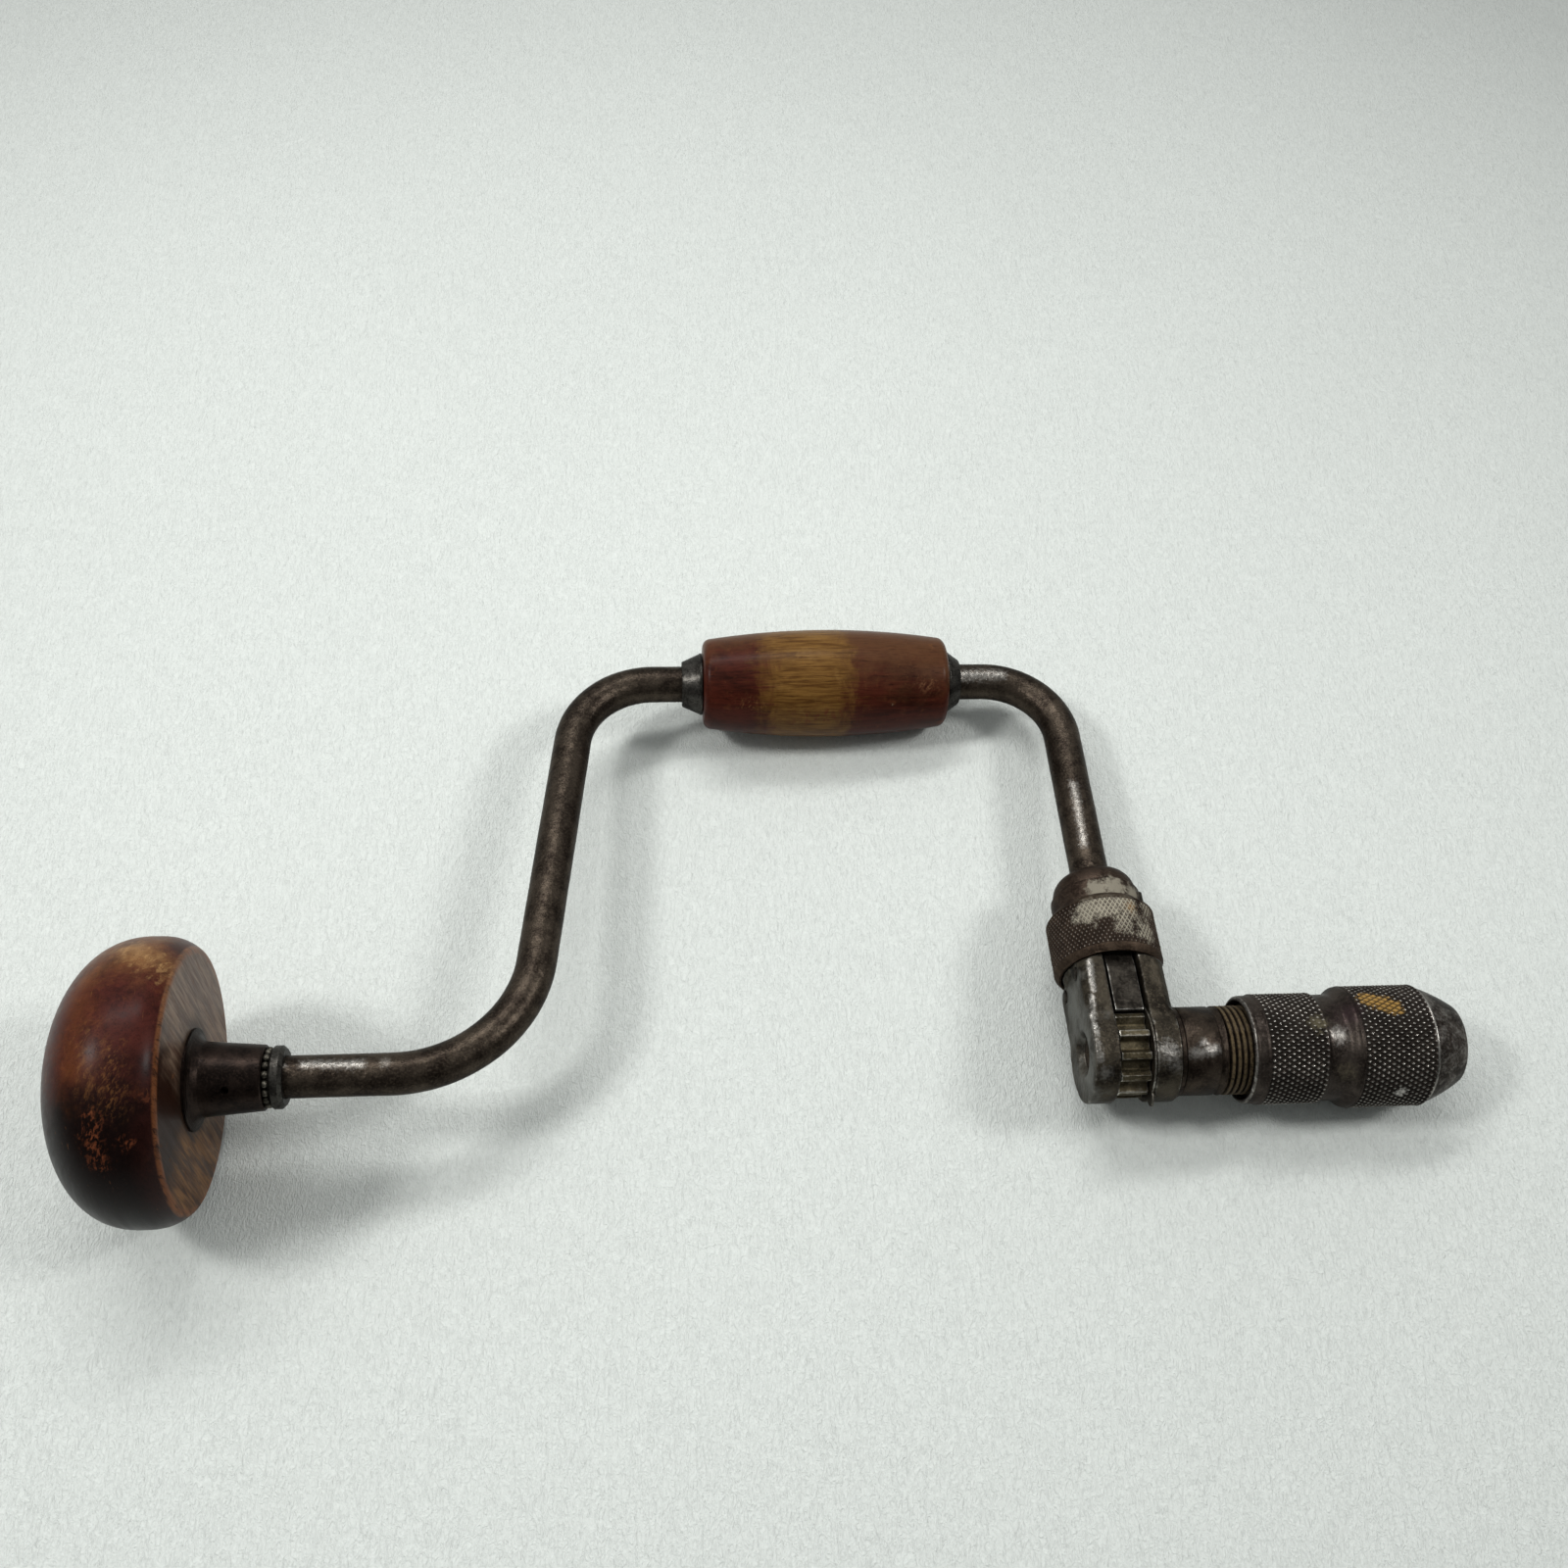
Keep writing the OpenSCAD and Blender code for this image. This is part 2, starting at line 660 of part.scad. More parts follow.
// Turned wooden barrel that spins on the sweep of the crank
module sweep_handle() {
    flat_half = handle_half - handle_edge_r;
    arc_angle = asin(flat_half / handle_arc_r);
    side_r = handle_r - handle_arc_r * (1 - cos(arc_angle));
    color(wood_gold)
    lay_down()
    translate([-handle_at, throw, 0])
        turned_x(concat(
            [[handle_bore_r, -handle_half]],
            arc(side_r - handle_edge_r, -flat_half, handle_edge_r, -90, 0, 6),
            arc(handle_r - handle_arc_r, 0, handle_arc_r, 1 - arc_angle, arc_angle - 1, 16),
            arc(side_r - handle_edge_r, flat_half, handle_edge_r, 0, 90, 6),
            [[handle_bore_r, handle_half]]));
}

// Conical ferrule on the crank; its large end faces the barrel at station 0
module ferrule(length) {
    turned_x([
        [rod_r + press, 0], [ferrule_d / 2 - 0.3, 0], [ferrule_d / 2, 0.3], [ferrule_d / 2, ferrule_band],
        [ferrule_tip_d / 2, length], [rod_r + press, length]]);
}

// Ferrule at the head's end of the barrel
module rear_ferrule() {
    color(steel_blue)
    lay_down()
    translate([-handle_at - handle_half - gap, throw, 0])
        mirror([1, 0, 0])
            ferrule(rear_ferrule_len);
}

// Ferrule at the chuck's end of the barrel
module front_ferrule() {
    color(steel_blue)
    lay_down()
    translate([handle_half + gap - handle_at, throw, 0])
        ferrule(front_ferrule_len);
}

// Turned envelope of the fork: full ears, turned straps, round shoulders and hub
module fork_turning() {
    corner_r = ear_x + ear_r;
    shoulder_w = strap_turn_r - spigot_r;
    shoulder_h = shoulder_end_y - shoulder_y;
    turned_y(concat(
        [[0, -corner_r], [corner_r, -corner_r], [corner_r, turn_runout_y - 2.6]],
        arc(strap_turn_r + 3, turn_runout_y, 3, -90, -180, 6),
        [for (i = [0:6]) let (a = 15 * i)
            [strap_turn_r - shoulder_w * (1 - cos(a)), shoulder_y + shoulder_h * sin(a)]],
        [[spigot_r, ring_mouth_y - 2 * gap], [hub_r, ring_mouth_y - gap], [hub_r, hub_shoulder_y],
            [hub_neck_r, hub_shoulder_y], [hub_neck_r, cap_y], [0, cap_y]]));
}

// Forged fork at the end of the crank: two ears, two straps and the hub of the cam ring
module ratchet_fork() {
    color(steel_dark)
    lay_down()
    difference() {
        intersection() {
            union() {
                bar_x(ear_r, -ear_x, ear_x);
                translate([-ear_x, 0, -strap_t / 2])
                    cube([fork_w, strap_end_y, strap_t]);
                translate([-ear_r, shoulder_end_y, -ear_r])
                    cube([2 * ear_r, cap_y, 2 * ear_r]);
            }
            fork_turning();
        }
        translate([-slot_x, -2 * ear_r, -2 * ear_r])
            cube([slot_w, 2 * ear_r + slot_top_y, 4 * ear_r]);
        bar_x(journal_d / 2 + run, 0, ear_x + 1);
        bar_x(tail_d / 2 + run, -ear_x - 1, 0);
        rotate([0, 90, 0])
            translate([0, 0, -ear_x])
                cylinder(r1 = countersink_r, r2 = tail_d / 2 + run, h = countersink_depth);
        for (side = [-1, 1])
            translate([0, pawl_pin_y, side * pawl_pin_z])
                bar_x(pawl_pin_d / 2 + press, -ear_x - 1, ear_x + 1);
        bar_y(rod_r + press, socket_y, cap_y + 1);
        translate([0, cross_pin_y, 0])
            bar_x(cross_pin_d / 2 + press, -ear_x - 2, ear_x + 2);
    }
}

// Cross pin through the fork's hub and the crank
module fork_cross_pin() {
    color(steel_worn)
    lay_down()
    translate([0, cross_pin_y, 0])
        bar_x(cross_pin_d / 2, 0.4 - hub_r, hub_r - 0.4);
}

// Domed cap that keeps the cam ring on its hub
module ring_cap() {
    dome_y = cap_y + cap_band;
    dome_r = cap_r - cap_step;
    dome_w = dome_r - rod_r - press;
    color(steel_dark)
    lay_down()
    difference() {
        turned_y(concat(
            [[rod_r + press, cap_y], [cap_r - 0.3, cap_y], [cap_r, cap_y + 0.3], [cap_r, dome_y - 0.4],
                [cap_r - 0.4, dome_y]],
            [for (i = [0:12]) let (a = 7.5 * i, p = 2 / cap_fullness)
                [rod_r + press + dome_w * pow(cos(a), p), dome_y + cap_dome * pow(sin(a), p)]]));
        rotate([0, -stop_pin_angle, 0])
            translate([stop_pin_at, 0, 0])
                bar_y(stop_pin_r + press, cap_y - 1, stop_pin_top_y);
    }
}

// Stop pin, seated in the cap's rim and standing in the ring's notch
module ring_stop_pin() {
    color(steel_dark)
    lay_down()
    rotate([0, -stop_pin_angle, 0])
        translate([stop_pin_at, 0, 0])
            turned_y([
                [0, stop_pin_low_y], [stop_pin_r - 0.2, stop_pin_low_y], [stop_pin_r, stop_pin_low_y + 0.2],
                [stop_pin_r, stop_pin_top_y - 0.05], [0, stop_pin_top_y - 0.05]]);
}

// Outline of one cam pocket in the (X, Z) plane. Its wall runs in as the ring turns, at the
// rate that keeps to the pawl's finger. A side of 1 is the pocket above the upper pawl.
function cam_points(side) =
    concat(
        [for (i = [0:cam_steps])
            let (a = cam_half_angle * (2 * i / cam_steps - 1),
                r = cam_mid_r - side * cam_rise * a / ring_turn)
            [r * sin(a), r * cos(a)]],
        [[ring_bore_r * sin(cam_half_angle) - pocket_taper, ring_bore_r - pocket_reach],
            [pocket_taper - ring_bore_r * sin(cam_half_angle), ring_bore_r - pocket_reach]]);

// Knurled ring that lifts one pawl or the other
module cam_ring() {
    lip_y = ring_y1 - ring_lip;
    color(steel_dark)
    lay_down()
    difference() {
        turned_y([
            [ring_mouth_r, ring_y0], [ring_r - ring_foot_r, ring_y0], [ring_r, ring_y0 + ring_foot_y],
            [ring_r, ring_y1 - ring_chamfer_y], [ring_r - ring_chamfer_r, ring_y1],
            [hub_neck_r + run, ring_y1], [hub_neck_r + run, lip_y], [ring_bore_r, lip_y],
            [ring_bore_r, ring_mouth_y], [ring_mouth_r, ring_mouth_y]]);
        translate([0, cam_top_y, 0])
            rotate([90, 0, 0])
                linear_extrude(cam_top_y - ring_y0 + 1) {
                    polygon(cam_points(1));
                    rotate([0, 0, 180])
                        polygon(cam_points(-1));
                }
        stop_notch();
    }
}

// Notch in the top of the ring that the stop pin stands in
module stop_notch() {
    inner = stop_pin_at - stop_pin_r - 0.4;
    outer = stop_pin_at + stop_pin_r + 0.1;
    floor_y = stop_pin_low_y - 0.1;
    translate([0, floor_y, 0])
        rotate([-90, 0, 0])
            rotate([0, 0, -stop_pin_angle - stop_half_angle])
                rotate_extrude(angle = 2 * stop_half_angle)
                    translate([inner, 0])
                        square([outer - inner, ring_y1 - floor_y + 1]);
}

// Upper pawl in its middle position: nose, pinned body, tail and cam finger
module pawl() {
    finger_r = finger_w / 2;
    difference() {
        union() {
            plate_x(-pawl_w / 2, pawl_w / 2)
                polygon([
                    [nose_end_y, nose_z], [nose_end_y, pawl_face_z - 0.3], [nose_end_y + 0.3, pawl_face_z],
                    [tail_slope_y, pawl_face_z], [tail_flat_y, tail_z], [tail_end_y, tail_z],
                    [tail_end_y, pawl_inner_z], [pawl_heel_y, pawl_inner_z],
                    [nose_relief_y, nose_z - 0.15], [nose_end_y + 0.4, nose_z - 0.15]]);
            translate([0, finger_y, finger_top_z - finger_r])
                bar_y(finger_r, -finger_len / 2, finger_len / 2);
            translate([-finger_r, finger_y - finger_len / 2, pawl_inner_z + 2])
                cube([finger_w, finger_len, finger_top_z - finger_r - pawl_inner_z - 2]);
        }
        translate([0, pawl_pin_y, pawl_pin_z])
            bar_x(pawl_pin_d / 2 + run, -pawl_w, pawl_w);
        translate([0, finger_y, 0])
            cylinder(r = pawl_seat_r, h = pawl_inner_z + pawl_seat_depth);
    }
}

// Pawl on the upper side of the wheel
module pawl_upper() {
    color(steel_worn)
    lay_down()
    pawl();
}

// Pawl on the lower side of the wheel
module pawl_lower() {
    color(steel_worn)
    lay_down()
    mirror([0, 0, 1])
        pawl();
}

// Pin that a pawl swings on, riveted over in the ears
module pawl_pin(side) {
    end_x = ear_x + pin_proud;
    translate([0, pawl_pin_y, side * pawl_pin_z])
        turned_x([
            [0, -end_x], [pawl_pin_d / 2 - 0.4, -end_x], [pawl_pin_d / 2, 0.4 - end_x],
            [pawl_pin_d / 2, end_x - 0.4], [pawl_pin_d / 2 - 0.4, end_x], [0, end_x]]);
}

// Pin of the upper pawl
module pawl_pin_upper() {
    color(steel_bright)
    lay_down()
    pawl_pin(1);
}

// Pin of the lower pawl
module pawl_pin_lower() {
    color(steel_bright)
    lay_down()
    pawl_pin(-1);
}

// Points and faces of a coil of round wire that stands on the Z axis
function coil_centre(r, length, turns, i) =
    let (t = i / (8 * turns)) [r * cos(360 * turns * t), r * sin(360 * turns * t), length * (t - 0.5)];

function coil_ring(r, length, turns, i) =
    let (a = 360 * i / 8, c = coil_centre(r, length, turns, i))
    [for (k = [0:5]) let (b = 60 * k)
        c + spring_wire / 2 * [cos(b) * cos(a), cos(b) * sin(a), sin(b)]];

module coil(r, length, turns) {
    rings = 8 * turns;
    sides = [for (i = [0:rings - 1], k = [0:5])
        let (p = 6 * i + k, q = 6 * i + (k + 1) % 6)
        each [[p, q, q + 6], [p, q + 6, p + 6]]];
    ends = concat(
        [for (k = [1:4]) [0, k + 1, k]],
        [for (k = [1:4]) [6 * rings, 6 * rings + k, 6 * rings + k + 1]]);
    polyhedron([for (i = [0:rings]) each coil_ring(r, length, turns, i)], concat(sides, ends));
}

// Least gap between neighbouring turns of a coil, measured on its centre points
function coil_gap(r, length, turns) =
    min([for (i = [0:8 * turns - 6], k = [6:10])
        if (i + k <= 8 * turns)
            norm(coil_centre(r, length, turns, i + k) - coil_centre(r, length, turns, i))]) - spring_wire;

// Coil spring that presses the tails of the pawls apart
module pawl_spring() {
    color(steel_bright)
    lay_down()
    translate([0, finger_y, 0])
        coil(pawl_spring_r, pawl_spring_len, pawl_spring_turns);
}

// Corners of one tooth at an angle from +Z towards -Y
function tooth_points(a) =
    let (c = asin(crest_w / 2 / wheel_r), f = asin(root_w / 2 / wheel_root_r))
    [from_up(a - f, wheel_root_r), from_up(a - c, wheel_r),
        from_up(a + c, wheel_r), from_up(a + f, wheel_root_r)];

// Ratchet wheel, pinned to the spindle
module ratchet_wheel() {
    color(steel_worn)
    lay_down()
    difference() {
        plate_x(wheel_x, wheel_x + wheel_w)
            polygon([for (i = [0:teeth - 1]) each tooth_points(i * tooth_angle)]);
        bar_x(seat_d / 2 + press, wheel_x - 1, wheel_x + wheel_w + 1);
        wheel_pin_bar(wheel_pin_d / 2 + press, 2 * wheel_r);
    }
}

// Bar across the wheel, through the gaps one and a half teeth from the crank's plane normal
module wheel_pin_bar(r, length) {
    translate([wheel_x + wheel_w / 2, 0, 0])
        rotate([-1.5 * tooth_angle, 0, 0])
            cylinder(r = r, h = length, center = true, $fn = 32);
}

// Pin that locks the wheel to the spindle
module wheel_pin() {
    color(steel_bright)
    lay_down()
    wheel_pin_bar(wheel_pin_d / 2, wheel_pin_len);
}

// Washer between the wheel and the front ear, with a lug that hangs below
module wheel_washer() {
    color(steel_worn)
    lay_down()
    difference() {
        union() {
            bar_x(ear_r, washer_x, washer_x + wheel_washer_t);
            plate_x(washer_x, washer_x + wheel_washer_t)
                translate([-lug_r + lug_w / 2, 0])
                    circle(d = lug_w);
            translate([washer_x, -lug_r + lug_w / 2, -lug_w / 2])
                cube([wheel_washer_t, lug_w, lug_w]);
        }
        bar_x(journal_d / 2 + 0.2, 0, ear_x);
    }
}

// Spindle: tail journal, wheel seat, front journal, collar, thread core and jaw slot
module chuck_spindle() {
    color(steel_dark)
    lay_down()
    difference() {
        turned_x([
            [0, tail_x], [tail_d / 2 - 0.3, tail_x], [tail_d / 2, tail_x + 0.3], [tail_d / 2, wheel_x],
            [seat_d / 2, wheel_x], [seat_d / 2, slot_x - wheel_washer_t - 2 * run],
            [journal_d / 2, slot_x - wheel_washer_t - 2 * run], [journal_d / 2, collar_front_x],
            [spindle_collar_d / 2 - collar_chamfer_x, collar_front_x],
            [spindle_collar_d / 2, collar_front_x + collar_chamfer_x],
            [spindle_collar_d / 2, collar_end_x - collar_chamfer_x],
            [spindle_collar_d / 2 - collar_chamfer_x, collar_end_x],
            [relief_d / 2, collar_end_x], [relief_d / 2, thread_x - thread_chamfer],
            [thread_d / 2, thread_x], [thread_d / 2, spindle_end_x - thread_chamfer],
            [thread_d / 2 - thread_chamfer, spindle_end_x], [0, spindle_end_x]]);
        bar_x(centre_hole_r, tail_x - 1, tail_x + centre_hole_depth);
        wheel_pin_bar(wheel_pin_d / 2 + press, 2 * wheel_r);
        translate([jaw_slot_x, -jaw_slot_w / 2, -thread_d])
            cube([spindle_end_x, jaw_slot_w, 2 * thread_d]);
        translate([jaw_slot_x - tang_depth, -tang_w / 2, -tang_w / 2])
            cube([spindle_end_x, tang_w, tang_w]);
    }
}

// Loose washer between the front ear and the spindle's collar
module spindle_washer() {
    edge = spindle_washer_d / 2;
    front_x = spindle_washer_x + spindle_washer_t;
    color(steel_worn)
    lay_down()
    turned_x([
        [journal_d / 2 + run, spindle_washer_x], [edge - 0.3, spindle_washer_x], [edge, spindle_washer_x + 0.3],
        [edge, front_x - 0.3], [edge - 0.3, front_x], [journal_d / 2 + run, front_x]]);
}

// Chuck shell: rear band, rear knurl, waist, swell, front knurl and nose
module chuck_shell() {
    band_r = shell_band_d / 2;
    waist_r = waist_d / 2;
    full_r = shell_d / 2;
    swell_w = full_r - 0.15 - waist_r;
    nose_w = nose_taper_r - nose_d / 2;
    nose_len = nose_edge_x - nose_taper_x;
    color(steel_worn)
    lay_down()
    difference() {
        turned_x(concat(
            [[0, shell_rear_x]],
            arc(band_r - rim_round, shell_rear_x + rim_round, rim_round, -80, 0, 5),
            [[band_r, rear_knurl_x0 - 0.3], [rear_knurl_d / 2, rear_knurl_x0],
                [rear_knurl_d / 2, rear_knurl_x1], [waist_r, rear_knurl_x1 + 1.4], [waist_r, waist_end_x]],
            [for (i = [1:8]) let (t = i / 8)
                [waist_r + swell_w * sin(90 * t) * sin(90 * t), waist_end_x + (swell_x - waist_end_x) * t]],
            [[full_r - 0.15, front_knurl_x0 - 0.3], [full_r, front_knurl_x0], [full_r, front_knurl_x1],
                [full_r - 0.5, front_knurl_x1 + 0.3], [full_r - 0.5, nose_taper_x - 0.2]],
            [for (i = [0:9]) let (t = i / 10)
                [nose_taper_r - nose_w * t * (nose_fall + (1 - nose_fall) * t), nose_taper_x + nose_len * t]],
            arc(nose_edge_at, shell_end_x - nose_edge_r, nose_edge_r, nose_edge_angle, 90, 4),
            [[0, shell_end_x]]));
        turned_x([
            [0, shell_rear_x - 1], [rear_mouth_d / 2, shell_rear_x - 1],
            [rear_mouth_d / 2, shell_rear_x + rear_mouth_len],
            [shell_bore_d / 2, shell_rear_x + rear_mouth_len],
            [shell_bore_d / 2, cavity_x],
            [cavity_d / 2, cavity_x], [cavity_d / 2, shell_cone_x], [mouth_d / 2, mouth_x], [0, mouth_x]]);
        bar_x(mouth_d / 2, mouth_x - 1, shell_end_x + 1);
    }
}

// Closing ring: a hard cone that slides with the shell but doesn't turn, and squeezes the jaws
module closing_ring() {
    color(steel_bright)
    lay_down()
    turned_x([
        [closing_bore_r, ring_rear_x], [closing_r, ring_rear_x], [closing_r, closing_cone_x],
        [closing_front_r, ring_front_x], [land_r - cone_slope * land_half, ring_front_x],
        [land_r + cone_slope * land_half, land_x - land_half], [closing_bore_r, land_x - 3 * land_half]]);
}

// Envelope of both jaws: straight behind, conical where the closing ring bears
module jaw_envelope() {
    taper_r = land_r - jaw_relief;
    turned_x([
        [0, 0], [jaw_body_r, 0], [jaw_body_r, land_x - (jaw_body_r - taper_r) / cone_slope],
        [taper_r - cone_slope * (jaw_end_x - land_x), jaw_end_x], [0, jaw_end_x]]);
}

// Upper jaw, half open: round heel, arm, conical head and grooved grip
module jaw() {
    difference() {
        intersection() {
            jaw_envelope();
            union() {
                plate_y(jaw_w) {
                    translate([heel_x, heel_z])
                        circle(r = heel_r);
                    polygon([
                        [heel_x, heel_z - heel_r], [heel_x, heel_z + heel_r], [jaw_head_x - 4, jaw_back_z],
                        [jaw_head_x, jaw_back_z], [jaw_head_x, jaw_inner_z], [heel_x + 2, jaw_inner_z]]);
                }
                translate([jaw_head_x - 0.5, -jaw_head_w / 2, grip_gap])
                    cube([jaw_end_x - jaw_head_x + 1, jaw_head_w, jaw_body_r]);
            }
        }
        translate([jaw_head_x - 1, 0, grip_gap])
            rotate([45, 0, 0])
                translate([0, -groove_depth / sqrt(2), -groove_depth / sqrt(2)])
                    cube([jaw_end_x, groove_depth * sqrt(2), groove_depth * sqrt(2)]);
        translate([jaw_spring_x, 0, 0])
            cylinder(r = jaw_seat_r, h = jaw_inner_z + jaw_seat_depth);
    }
}

// Jaw on the upper side
module jaw_upper() {
    color(steel_bright)
    lay_down()
    jaw();
}

// Jaw on the lower side
module jaw_lower() {
    color(steel_bright)
    lay_down()
    rotate([180, 0, 0])
        jaw();
}

// Coil spring that opens the jaws
module jaw_spring() {
    color(steel_bright)
    lay_down()
    translate([jaw_spring_x, 0, 0])
        coil(jaw_spring_r, jaw_spring_len, jaw_spring_turns);
}

echo(pawl_spring_gap = coil_gap(pawl_spring_r, pawl_spring_len, pawl_spring_turns));
echo(jaw_spring_gap = coil_gap(jaw_spring_r, jaw_spring_len, jaw_spring_turns));

crank_rod();
head_pad();
head_quill();
thrust_balls();
thrust_collar();
journal_nut();
sweep_handle();
rear_ferrule();
front_ferrule();
ratchet_fork();
fork_cross_pin();
ring_cap();
ring_stop_pin();
cam_ring();
pawl_upper();
pawl_lower();
pawl_pin_upper();
pawl_pin_lower();
pawl_spring();
ratchet_wheel();
wheel_pin();
wheel_washer();
chuck_spindle();
spindle_washer();
chuck_shell();
closing_ring();
jaw_upper();
jaw_lower();
jaw_spring();
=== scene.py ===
"""A worn bit brace with an open ratchet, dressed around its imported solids.

Shapes are made in millimetres in the brace's own frame: X along the spindle axis from the
head to the chuck, Y out to the sweep handle, Z square to the crank, and X = 0 at the arm
that carries the ratchet. Everything is then laid down into the row frame, in metres.
"""

import json
import logging
import math
from dataclasses import dataclass
from enum import Enum
from typing import Callable, Optional, Sequence, Union

import bmesh
import bpy
import numpy as np
from mathutils import Matrix, Vector


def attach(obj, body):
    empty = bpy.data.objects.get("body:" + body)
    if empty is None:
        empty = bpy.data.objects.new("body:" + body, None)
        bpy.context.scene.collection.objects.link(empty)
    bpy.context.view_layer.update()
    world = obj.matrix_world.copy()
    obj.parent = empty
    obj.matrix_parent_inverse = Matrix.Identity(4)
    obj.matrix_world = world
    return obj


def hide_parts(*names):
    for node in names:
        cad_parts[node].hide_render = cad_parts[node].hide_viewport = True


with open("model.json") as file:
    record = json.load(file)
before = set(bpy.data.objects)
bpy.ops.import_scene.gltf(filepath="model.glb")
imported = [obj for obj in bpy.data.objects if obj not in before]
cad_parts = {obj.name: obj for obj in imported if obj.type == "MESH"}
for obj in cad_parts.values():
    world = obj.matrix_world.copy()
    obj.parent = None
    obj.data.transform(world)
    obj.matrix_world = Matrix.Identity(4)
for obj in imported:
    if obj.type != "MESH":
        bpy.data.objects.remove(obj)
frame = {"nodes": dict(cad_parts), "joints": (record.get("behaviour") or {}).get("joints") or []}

LOG = logging.getLogger("bit_brace")
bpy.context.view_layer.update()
MM = 0.001

Colour = tuple[float, float, float]
Outline = list[tuple[float, float]]
Profile = tuple[tuple[float, float], ...]
Socket = bpy.types.NodeSocket
Value = Union[float, Socket]
Tint = Union[Colour, Socket]


def joint_of(name: str) -> dict:
    """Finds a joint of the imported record.

    Args:
        name: The joint's name.

    Returns:
        The joint's record.
    """
    return next(joint for joint in frame["joints"] if joint["name"] == name)


def brace_matrix() -> Matrix:
    """Reads how the brace lies from its joints.

    Returns:
        The matrix from the brace's own frame in mm to the row frame in metres.
    """
    along = Vector(joint_of("spindle_turn")["axis"]).normalized()
    out = Vector(joint_of("cam_ring_turn")["axis"]).normalized()
    square = along.cross(out)
    turn = Matrix((along, out, square)).transposed().to_4x4()
    return Matrix.Translation(joint_of("spindle_turn")["pos_m"]) @ turn @ Matrix.Scale(MM, 4)


LAY_DOWN = brace_matrix()
STAND_UP = LAY_DOWN.inverted()


HANDLE_MIDDLE = (-70.8, 127.0, 0.0)


class Axis(Enum):
    """An axis of revolution, as the matrix from (station, across, up) to the brace's frame."""

    SPINDLE = Matrix.Identity(4)
    HANDLE = Matrix.Translation(HANDLE_MIDDLE)
    ARM = Matrix(((0, 0, 1, 0), (1, 0, 0, 0), (0, 1, 0, 0), (0, 0, 0, 1)))


class Mark(Enum):
    """A number that a mesh carries at its points, from 0 to 1."""

    WEAR = "wear"
    GRIME = "grime"


def turned_to(fibre: Sequence[float]) -> tuple[float, float, float]:
    """Gives the turn that lays a direction of the brace's frame along X."""
    return tuple(Vector(fibre).normalized().rotation_difference(Vector((1, 0, 0))).to_euler())


# ---- shaders -------------------------------------------------------------------------

COAT_ROUGHNESS = 0.20


@dataclass(frozen=True)
class Grain:
    """A noise: its frequency per mm, its octaves, how strong the fine ones are, and its bend."""

    scale: float
    detail: float = 3.0
    rough: float = 0.55
    bend: float = 0.0


